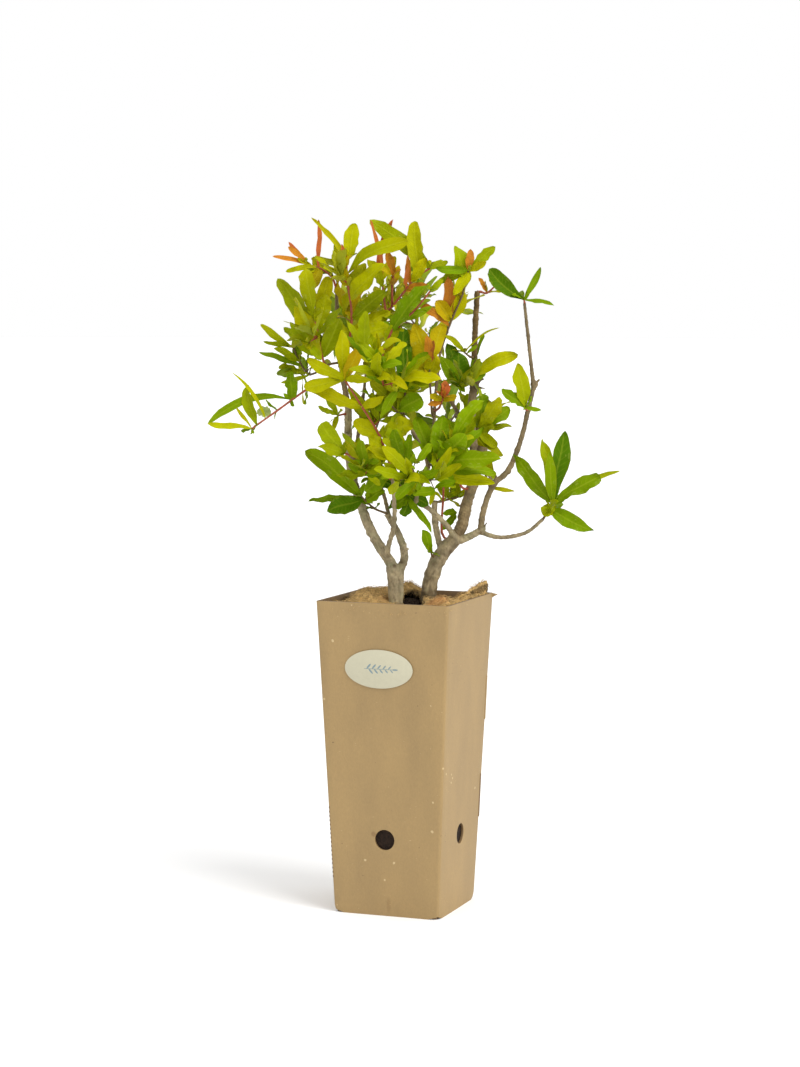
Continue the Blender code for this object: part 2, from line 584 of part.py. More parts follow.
def cut_flat(obj):
    """The trunk's flat cut, just clear of the soil."""
    bm = bmesh.new()
    bm.from_mesh(obj.data)
    ground = Vector((0, 0, SOIL_TOP + CLEAR)) * MM
    cut = bmesh.ops.bisect_plane(bm, geom=bm.verts[:] + bm.edges[:] + bm.faces[:], plane_co=ground,
                                 plane_no=(0, 0, 1), clear_inner=True)
    rim = [item for item in cut["geom_cut"] if isinstance(item, bmesh.types.BMEdge)]
    bmesh.ops.edgenet_fill(bm, edges=rim)
    bmesh.ops.recalc_face_normals(bm, faces=bm.faces)
    bm.to_mesh(obj.data)
    bm.free()


def cut_clear(obj, runs, cutters):
    """Cuts an object 0.3 mm clear of each limb that it runs into."""
    tree = tree_of(obj.data)
    for name, (points, radii) in runs.items():
        cutter = tube(name + "_space", *grown(points, radii, CLEAR), 1, cutters)
        if tree.overlap(tree_of(cutter.data)):
            boolean(obj, "DIFFERENCE", cutter)
            keep_body(obj)
            tree = tree_of(obj.data)
        remove(cutter)


def make_limbs(parts, cutters):
    runs = {}
    for limb in LIMBS:
        points, radii = limb_run(limb)
        obj = tube(limb.name, points, radii, 1, parts, material(limb.name + " bark", limb.colour, 0.85))
        if limb.name.startswith("trunk"):
            cut_flat(obj)
        cut_clear(obj, runs, cutters)
        obj.data.shade_smooth()
        obj.data.set_sharp_from_angle(angle=math.radians(50))
        runs[limb.name] = (points, radii)
    return runs


# Leaves
def leaf_mesh(name, base, along, facing, length, width, arch, grow=0.0):
    """A thin pointed blade: long ones have two rings of points, short ones have one."""
    along = along.normalized()
    base = base - along * ROOT_SINK
    side = along.cross(facing).normalized()
    face = along.cross(side)
    rings = 3 if length > LONG_LEAF else 2
    bm = bmesh.new()
    bmesh.ops.create_uvsphere(bm, u_segments=4, v_segments=rings, radius=1)
    for vert in bm.verts:
        share = (1 + vert.co.z) / 2
        around = Vector((vert.co.x, vert.co.y))
        swell = 1.15 if rings == 2 else 0.94 + 0.2 * vert.co.z
        around = around.normalized() * swell if around.length > 0.01 else around
        across = around.x * (width / 2 + grow)
        through = around.y * (LEAF_THICK / 2 + grow)
        bow = arch * length * 4 * share * (1 - share)
        spot = base + along * share * length + side * (across + bow) + face * through
        vert.co = place(spot)
    mesh = bpy.data.meshes.new(name)
    bm.to_mesh(mesh)
    bm.free()
    return mesh


def direction(bearing, away):
    """Unit direction from a bearing in the u-z plane and a tilt away from the front."""
    bearing, away = math.radians(bearing), math.radians(away)
    return Vector((math.cos(bearing) * math.cos(away), math.sin(away),
                   math.sin(bearing) * math.cos(away)))


def own_blades(shoot, rng):
    """The leaves that a shoot names, facing the front."""
    for leaf in shoot.leaves:
        base, _ = point_at(shoot.stem, leaf.at)
        facing = Vector((rng.uniform(-0.3, 0.3), -1, rng.uniform(0.1, 0.5)))
        yield base, direction(leaf.bearing, leaf.away), facing, leaf.length, leaf.width, leaf.arch


def sprig_run(shoot, number, rng):
    """Start and end of one side twig: they turn round the stem by the golden angle."""
    at = (number + 0.6) / shoot.sprigs * (len(shoot.stem) - 1)
    if shoot.leaves:
        at *= 0.7
    base, along = point_at(shoot.stem, at)
    out = Vector((0, 1, 0)) if abs(along.y) < 0.7 else Vector((1, 0, 0))
    out = (out - along * out.dot(along)).normalized()
    out.rotate(Matrix.Rotation(number * GOLDEN_ANGLE + rng.uniform(-0.3, 0.3), 3, along))
    lean = math.radians(SPRIG_LEAN)
    way = along * math.cos(lean) + out * math.sin(lean)
    if shoot.spread < 0.6:
        way.x *= shoot.spread
        way.z *= shoot.spread
    return base, base + way.normalized() * shoot.reach * rng.uniform(0.75, 1.0)


def sprig_blades(start, end, rng):
    """Three leaves at a sprig's tip and a pair halfway, facing up and out."""
    along = (end - start).normalized()
    side = along.cross(Vector((0.2, 0.1, 1))).normalized()
    turn = rng.uniform(0, math.tau)
    for number in range(5):
        share = 1.0 if number < 3 else 0.5
        around = side.copy()
        step = math.tau / 3 if number < 3 else math.pi
        around.rotate(Matrix.Rotation(turn + number * step, 3, along))
        lean = rng.uniform(0.45, 0.8) if number < 3 else rng.uniform(0.9, 1.3)
        way = along + around * lean + Vector((0, 0, 0.25))
        length = rng.uniform(*LEAF_LENGTHS)
        facing = Vector((rng.uniform(-0.5, 0.5), rng.uniform(-0.8, 0.2), 1))
        base = start.lerp(end, share)
        yield base, way, facing, length, length * LEAF_SHAPE * rng.uniform(0.85, 1.15), 0.0


class Space:
    """What the solids already take up, by node."""

    def __init__(self):
        self.trees = {}

    def add(self, owner, tree):
        self.trees.setdefault(owner, []).append(tree)

    def free(self, owner, tree):
        others = (kept for name, trees in self.trees.items() if name != owner for kept in trees)
        return not any(tree.overlap(kept) for kept in others)


def add_blade(blade, shoot, space, group):
    """Adds one leaf to a shoot's group, unless it would touch a limb or another mass."""
    wide = leaf_mesh("probe", *blade, grow=CLEAR)
    clear = space.free(shoot.name, tree_of(wide))
    bpy.data.meshes.remove(wide)
    if clear:
        mesh = leaf_mesh("leaf", *blade)
        space.add(shoot.name, tree_of(mesh))
        add_object("leaf", mesh, group)


def shoot_stem(shoot, runs):
    """A stem's points from the middle of its bough, and its radii."""
    root = nearest_on(runs[shoot.bough][0], shoot.stem[0])
    points = [root, *(Vector(p) for p in shoot.stem)]
    return points, taper(len(points), TWIG_RADIUS + 0.15, TWIG_RADIUS - 0.15)


def fuse(shoot, stem, group, runs, cutters):
    """One union joins the shoot, which is then cut clear of the limbs."""
    boolean(stem, "UNION", group, "MANIFOLD")
    for obj in list(group.objects):
        remove(obj)
    bpy.data.collections.remove(group)
    keep_body(stem)
    cut_clear(stem, runs, cutters)


def make_shoots(parts, cutters, runs, solid_parts):
    space = Space()
    for obj in solid_parts:
        space.add(obj.name, tree_of(obj.data))
    stems, groups, seeds = {}, {}, {}
    for number, shoot in enumerate(SHOOTS):
        look = material(shoot.name + " leaf", shoot.colour, 0.5)
        points, radii = shoot_stem(shoot, runs)
        stems[shoot] = tube(shoot.name, points, radii, 0, parts, look)
        space.add(shoot.name, tree_of(stems[shoot].data))
        groups[shoot] = bpy.data.collections.new(shoot.name + "_group")
        cutters.children.link(groups[shoot])
        seeds[shoot] = random.Random(100 + number)
    for shoot in SHOOTS:
        for blade in own_blades(shoot, seeds[shoot]):
            add_blade(blade, shoot, space, groups[shoot])
    for shoot in SHOOTS:
        for number in range(shoot.sprigs):
            start, end = sprig_run(shoot, number, seeds[shoot])
            blades = list(sprig_blades(start, end, seeds[shoot]))
            ends, radii = grown((start, end), (SPRIG_RADIUS, SPRIG_RADIUS), CLEAR)
            probe = tube("probe", ends, radii, 0, cutters)
            clear = space.free(shoot.name, tree_of(probe.data))
            remove(probe)
            if not clear:
                continue
            twig = tube("sprig", (start, end), (SPRIG_RADIUS, SPRIG_RADIUS * 0.7), 0, groups[shoot])
            space.add(shoot.name, tree_of(twig.data))
            for blade in blades:
                add_blade(blade, shoot, space, groups[shoot])
    for shoot in SHOOTS:
        fuse(shoot, stems[shoot], groups[shoot], runs, cutters)


def main():
    clear_scene()
    parts = make_collection("pomegranate_tree")
    cutters = make_collection("cutters")
    cutters.hide_render = True
    sleeve = make_sleeve(parts, cutters)
    card = material("kraft card inside", CARD_DARK)
    bottom = frustum("planter_bottom", 0, BOARD, BOARD + CLEAR, parts, card)
    soil = frustum("root_ball", BOARD + CLEAR, SOIL_TOP, BOARD + CLEAR, parts,
                   material("soil", SOIL, 0.95))
    label = make_label(parts)
    runs = make_limbs(parts, cutters)
    mat = make_mat(parts, cutters, [runs["trunk_left"], runs["trunk_right"]])
    limbs = [parts.objects[limb.name] for limb in LIMBS]
    make_shoots(parts, cutters, runs, [sleeve, bottom, soil, label, mat, *limbs])


main()
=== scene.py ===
"""The looks of a young pomegranate tree in a tall, tapering kraft-card planter.

The planter's front face looks to -Y and the origin is the centre of its underside. The crown is
laid out in millimetres in a frame of its own: u runs across, w runs away from the front and z up.
"""
import math
import random
from collections import namedtuple

import bmesh
import bpy
import numpy as np
from mathutils import Matrix, Vector, noise


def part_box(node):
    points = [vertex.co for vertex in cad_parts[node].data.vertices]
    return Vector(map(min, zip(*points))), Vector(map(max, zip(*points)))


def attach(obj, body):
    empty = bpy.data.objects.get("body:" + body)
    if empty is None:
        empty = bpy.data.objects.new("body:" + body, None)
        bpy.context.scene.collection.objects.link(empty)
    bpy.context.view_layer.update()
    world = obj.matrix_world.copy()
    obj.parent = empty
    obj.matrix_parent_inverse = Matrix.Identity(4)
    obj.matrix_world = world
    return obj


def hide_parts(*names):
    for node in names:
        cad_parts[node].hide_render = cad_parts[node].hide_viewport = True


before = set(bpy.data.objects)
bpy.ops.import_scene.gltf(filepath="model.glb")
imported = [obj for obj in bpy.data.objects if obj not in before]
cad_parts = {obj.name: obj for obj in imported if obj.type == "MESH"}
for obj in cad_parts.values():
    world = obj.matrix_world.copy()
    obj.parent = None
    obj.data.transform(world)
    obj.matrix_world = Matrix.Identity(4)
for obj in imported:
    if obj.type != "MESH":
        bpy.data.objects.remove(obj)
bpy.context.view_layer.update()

bl_info = {
    "name": "Pomegranate tree in a card planter",
    "version": (1, 0, 0),
    "blender": (4, 5, 0),
    "location": "3D View > Sidebar > Pomegranate",
    "description": "Builds the planter, the bark, the twigs and the leaves of a potted pomegranate",
    "category": "Add Mesh",
}

MM = 0.001
CROWN_TURN = math.radians(20.3)
CROWN_FRAME = Matrix.Rotation(CROWN_TURN, 3, "Z")
GOLDEN_ANGLE = math.radians(137.5)

# Planter, in millimetres
BOX_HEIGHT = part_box("planter_sleeve")[1].z / MM
BOX_TOP = -2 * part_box("planter_sleeve")[0].y / MM
BOX_BOTTOM = 91.5
VENT_HEIGHT = 64
TAB_HEIGHTS = (88.5, 171.5)
TAB_SIZE = (1.2, 37, 2.6)
TAB_SINK = 0.25
LIP_REACH = (5.4, 1.4)
LIP_HEIGHT = 4.6
LIP_DROP = 0.9
LIP_THICK = 0.5
FOOT_ROUNDING = 5.5
FOOT_ROWS = (0.8, 2.2, 4.0)
FOOT_FROM = 0.86
FOOT_TUCK = 0.012
WALL_ROWS = 44
WALL_CELLS = 14
WALL_BOW = 0.35
WALL_BOW_LENGTH = 47
CREASE_STEPS = 4
EDGE_EASE = 0.25
NICK_SPAN = (30, 88)
NICK_SIZE = (0.75, 0.75, 1.5)
NICK_COUNT = 17
LAP_WIDTH = 14
LAP_ENDS = (6, 3)
LAP_STEP = 0.45
LABEL_SIZE = (59, 32)
LABEL_BELOW_RIM = 54
LABEL_ASIDE = -3
LABEL_LIFT = 0.55
SPRIG_LIFT = 0.76
SPRIG_SCALE = 1.3
SPRIG_PAIRS = 5

# Flecks in the card: cell size, share of cells, how flat, strength and shade
FLECKS = ((0.0085, 0.11, 1.0, 0.42, (228, 206, 158)), (0.0047, 0.1, 2.2, 0.22, (222, 196, 146)),
          (0.0062, 0.06, 1.6, 0.62, (98, 72, 38)), (0.0036, 0.05, 0.7, 0.3, (120, 90, 50)))
# Mottled finishes: roughness, specular, patch size, darkest and lightest, bump depth and strength
MOTTLED = {"paper": (0.5, 0.5, 0.004, 0.97, 1.03, 0.00005, 0.4),
           "earth": (0.9, 0.25, 0.003, 0.45, 1.9, 0.0015, 1),
           "twig": (0.55, 0.4, 0.003, 0.7, 1.25, 0.0002, 1)}
# Stain marks on the front; on the mat, stain marks and painted shade: middle, reach each way, strength and
# shade
STAINS = (((-9.6, -50, 68.3), (2.6, 9, 2.6), 0.55, (112, 78, 28)),
          ((2.6, -47, 9), (2.2, 9, 7.5), 0.28, (112, 78, 28)))
# On the mat, the dark ovals behind the torn gap, along the left wall, along the back wall and at the right
# trunk's foot are painted shade; the other two are the fibre's own colour.
MAT_STAINS_AND_SHADE = (((-1, 20, 256), (13, 12, 9), 0.96, (26, 19, 12)),
              ((-52, 4, 252), (8, 44, 8), 0.8, (40, 30, 18)),
              ((22, 52, 252), (36, 8, 8), 0.8, (34, 24, 14)),
              ((40, -38, 262), (12, 10, 8), 0.45, (178, 108, 56)),
              ((16, 18, 254), (8, 9, 7), 0.7, (70, 50, 30)),
              ((-12, -18, 258), (8, 8, 7), 0.4, (120, 78, 40)))

# Fibre mat and soil, in millimetres
SOIL_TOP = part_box("root_ball")[1].z / MM
MAT_TOP = 255
MAT_THICK = 2.6
MAT_CELLS = 104
MAT_DROP = 5
MAT_GAP = 2.6
LUMP_HEIGHTS = (1.2, 0.8, 2.4)
LUMP_LENGTHS = (11, 13, 7)
TUFT_LENGTH = 3.4
TUFT_HEIGHT = 2.6
TUFT_SINK = 1.8
HOLE_PLACE = (5.5, -3)
HOLE_SIZE = (10.5, 24)
HOLE_RAGGED = 0.3
HOLE_MARGIN = 4
HEAP_HEIGHT = 8
HEAP_TOP = (5.5, 15)
HEAP_WIDTH = (12, 8)
FLAP_PATH = ((44, -6, 256), (47, 12, 257), (50, 32, 258), (52.5, 52, 257))
FLAP_RISE = (4, 14)
FLAP_LEAN = 1.5
FLAP_THICK = 2.6
FLAP_BULGE = 1.6
FLAP_RAGGED = ((2.2, 1.3), (0.7, 0.8))
FLAP_FRINGE = 3

# Each mound lifts the mat round a place (x, y), to a height and over a width.
MOUNDS = (((-22, 5), 10, 25), ((-36, -6), 3.5, 14), ((43, -36), 8, 10), ((52, -14), 6, 10),
          ((53, 6), 6.5, 10), ((53, 28), 6.5, 11), ((53, 46), 5, 10), ((-6, 34), 12, 11.5),
          ((-30, 34), 3, 14), ((14, 16), 3.5, 11), ((12, -22), -5, 15), ((4, -42), -5, 13),
          ((28, 44), -4, 16), ((-55, -14), -9, 10), ((-55, 22), -9, 12), ((24, -44), -2.5, 12))

# Crown, in millimetres
VOXEL = 0.5
TWIG_RADIUS = 0.85
SPRIG_RADIUS = 0.7
LEAF_LENGTHS = (26, 43)
LEAF_SHAPE = 0.23
SPRIG_LEAN = 50
ROOT_SINK = 0.5
ROOT_FLARE = 0.5
FLARE_HEIGHT = 5
BARK_SQUEEZE = 0.78
BARK_LUMP = 0.16
BARK_SCALE = 0.1
FISSURE_WIDTH = 1.7
FISSURE_DEPTH = 0.4
NODE_GAP = 23
NODE_WIDTH = 1.2
NODE_RISE = 0.14
WARTS = 70
# Where the right stem's bark darkens towards its foot: below this height, and beyond this u
FOOT_DARK_TOP = 269
FOOT_DARK_BESIDE = 8
SAWN_DISH = 0.25
SAWN_LEVELS = (0.2, -1.45)
LEAF_THICK = 0.35
LEAF_ROWS = 12
LEAF_COLUMNS = 6
CROWN_CORE = Vector((0, 22, 400))

# Stage: where the camera aims, in metres, its roll, the lamp's place and the floor's radius
CAMERA_ASIDE = -0.005
CAMERA_HEIGHT = 0.3128
CAMERA_ROLL = math.radians(0.14)
KEY_PLACE = (1.25, -0.6, 1.45)
FLOOR_RADIUS = 40

# A limb is a tapering tube through its path's points (u, w, z). Young limbs are brown, old grey.
Limb = namedtuple("Limb", "name path root tip age")
LEFT_STEM = (
    Limb("trunk_left", ((-9.6, -12, 247), (-9.6, -12, 252), (-9.4, -12, 258), (-9.6, -12, 270),
                        (-10.4, -12, 288)), 4.1, 5.8, 1),
    Limb("strand_left", ((-5.2, -14.6, 247), (-5, -14.4, 258), (-4.6, -13.8, 272),
                         (-4.2, -12, 289)), 2.3, 3.2, 1),
    Limb("bough_left", ((-9, -12, 284), (-21, -11, 302), (-31, -10, 320), (-40, -8, 345),
                        (-46, -5, 368), (-48, -1, 394), (-48, 0, 419)), 4.6, 3.0, 0.9),
    Limb("bough_left_top", ((-48, 0, 416), (-53, 4, 445), (-57, 8, 475), (-58, 10, 512)),
         2.6, 1.5, 0.3),
    Limb("bough_mid", ((-7, -11, 280), (-2.2, -8, 289), (-1.4, -5, 297), (-3.6, -3, 306), (-8.5, 0, 317),
                       (-16, 2, 329)), 3.8, 2.5, 1),
    Limb("bough_mid_top", ((-14, 2, 327), (-19, 6, 346), (-27, 10, 366), (-28, 14, 392)),
         1.8, 1.2, 0.4),
    Limb("bough_front", ((-15, -12, 292), (-14.5, -20, 304), (-10, -26, 322), (-10, -31, 345),
                         (-12, -34, 371)), 2.3, 1.5, 0.8),
    Limb("bough_back_left", ((-45, -5, 364), (-41, 18, 388), (-37, 44, 418), (-34, 60, 446)),
         2.0, 1.2, 0.3),
)
RIGHT_STEM = (
    Limb("trunk_right", ((18, 10, 247), (19, 10, 252), (19, 10, 260), (22, 10, 278),
                         (30, 10, 295), (41, 10, 308)), 6.5, 6.2, 0.72),
    Limb("bough_right", ((38, 10, 304), (46, 11, 317), (50, 12, 334), (57, 13, 359), (64, 14, 384)),
         5.4, 4.3, 0.3),
    Limb("leader_low", ((58, 13, 364), (56, 16, 386), (54, 20, 408), (57, 22, 441)),
         4.0, 3.2, 0.4),
    Limb("leader_top", ((57, 22, 438), (57, 24, 473), (59, 28, 513)), 2.7, 2.3, 0.0),
    Limb("bough_outer", ((38, 10, 304), (53, 6, 310), (63, 4, 316)), 3.6, 2.7, 0.9),
    Limb("bough_outer_riser", ((62, 4, 314), (64.5, 6, 332), (72, 8, 352), (84, 6, 364), (91, 4, 379),
                               (96.5, 3, 396), (101, 2, 416), (106, 0, 438)), 2.6, 1.9, 0.38),
    Limb("bough_outer_top", ((105, 0, 436), (101.5, -2, 465), (97, -4, 503)), 1.8, 1.3, 0.35),
    Limb("bough_far_right", ((61, 4, 314), (75, 0, 310), (88, -4, 311), (101, -9, 315.5),
                             (113, -12, 326)), 2.0, 1.5, 0.7),
    Limb("bough_cross", ((42, 8, 307), (36, -4, 317), (27, -10, 327), (17, -16, 336), (6, -22, 343)),
         2.5, 1.9, 0.9),
    Limb("bough_cross_riser", ((7, -21, 339), (11, -24, 352), (18, -26, 370)), 1.9, 1.6, 0.6),
    Limb("bough_centre", ((18, -26, 368), (15, -26, 381), (8, -25, 394), (-2, -24, 411),
                          (-17, -22, 430), (-32, -20, 445)), 1.6, 1.1, 0.5),
    Limb("bough_inner", ((17, -26, 366), (22, -16, 396), (24, -2, 428), (28, 12, 462)),
         1.6, 1.2, 0.3),
    Limb("bough_stub", ((30, 10, 295), (26, 18, 312), (24, 24, 324), (24, 26, 338)), 2.8, 2.4, 0.9),
    Limb("bough_back_right", ((55, 18, 396), (42, 40, 414), (28, 62, 440), (18, 74, 468)),
         2.0, 1.2, 0.3),
)
LIMBS = {limb.name: limb for limb in (*LEFT_STEM, *RIGHT_STEM)}

# Knots swell the bark round a point (u, w, z), to a height and over a width, and darken it.
Knot = namedtuple("Knot", "place height width dark", defaults=(0.5,))
KNOTS = (
    Knot((56, 21, 440), 2.0, 5.0), Knot((61, 18, 435), 2.2, 2.8), Knot((53, 20, 447), 1.6, 2.4),
    Knot((60, 20, 449), 1.5, 2.2), Knot((52, 18, 432), 1.2, 2.2), Knot((58, 17, 442), 1.2, 2.0),
    Knot((106, 1, 437), 2.2, 2.6), Knot((102, 2, 417), 1.2, 2.0), Knot((71, 7, 354), 2.0, 3.2),
    Knot((64, 4, 316), 1.4, 3.0), Knot((-2, -6, 300), 1.4, 2.2), Knot((-17, -14, 299), 1.0, 2.4),
    Knot((46, 7, 300), 0.9, 2.4), Knot((14, 4, 286), 0.9, 3.0), Knot((-45, -4, 372), 0.8, 2.2),
    Knot((-26, -13, 309), 0.8, 2.2), Knot((18, -27, 369), 0.9, 2.2), Knot((8, -24, 341), 0.8, 2.0),
    Knot((-4, -12.5, 290), 0, 3.8, 2.4), Knot((-9.3, -17.5, 287.7), 0, 1.8, 2),
    Knot((38, 5, 296), 0, 3.5, 2.2), Knot((23, 4, 287), 0, 2.5, 1.6),
    Knot((46, 6, 313), 0, 3, 1.8), Knot((72, 4, 351), 0, 4, 2), Knot((56, 17, 436), 0, 6, 2),
    Knot((9, -26, 343), 0, 2.5, 2),
)

# Short dead spurs: where each starts, where it ends, and its radius
SPURS = (
    ((-3, -5, 299), (2, -8, 301), 1.2), ((-19, -12, 299), (-24, -16, 306), 1.1),
    ((-15, -16, 298), (-19, -20, 306), 0.9), ((72, 7, 353), (67, 4, 366), 1.1),
    ((73, 7, 353), (75, 6, 361), 1.0), ((106, 0, 437), (110, -3, 441), 1.0),
    ((58, 18, 437), (64, 14, 441), 0.8), ((57, 19, 433), (66, 15, 433), 0.5),
    ((64, 4, 316), (67, 0, 322), 0.8), ((59, 12, 366), (53, 8, 372), 0.7),
    ((24, 26, 336), (34, 24, 341), 0.9), ((-46, -4, 394), (-51, -8, 398), 0.7),
)

# Sawn ends: the limb whose tip is cut
SAWN = ("bough_right", "leader_top", "bough_stub", "bough_outer_top")

# A leaf leaves its shoot at a place on the stem, with a bearing in the u-z plane, a tilt away from
# the front, a length, a width and, where they differ from its spray's, a tint and an arch.
Leaf = namedtuple("Leaf", "at bearing away length width tint arch", defaults=("", 0.0))

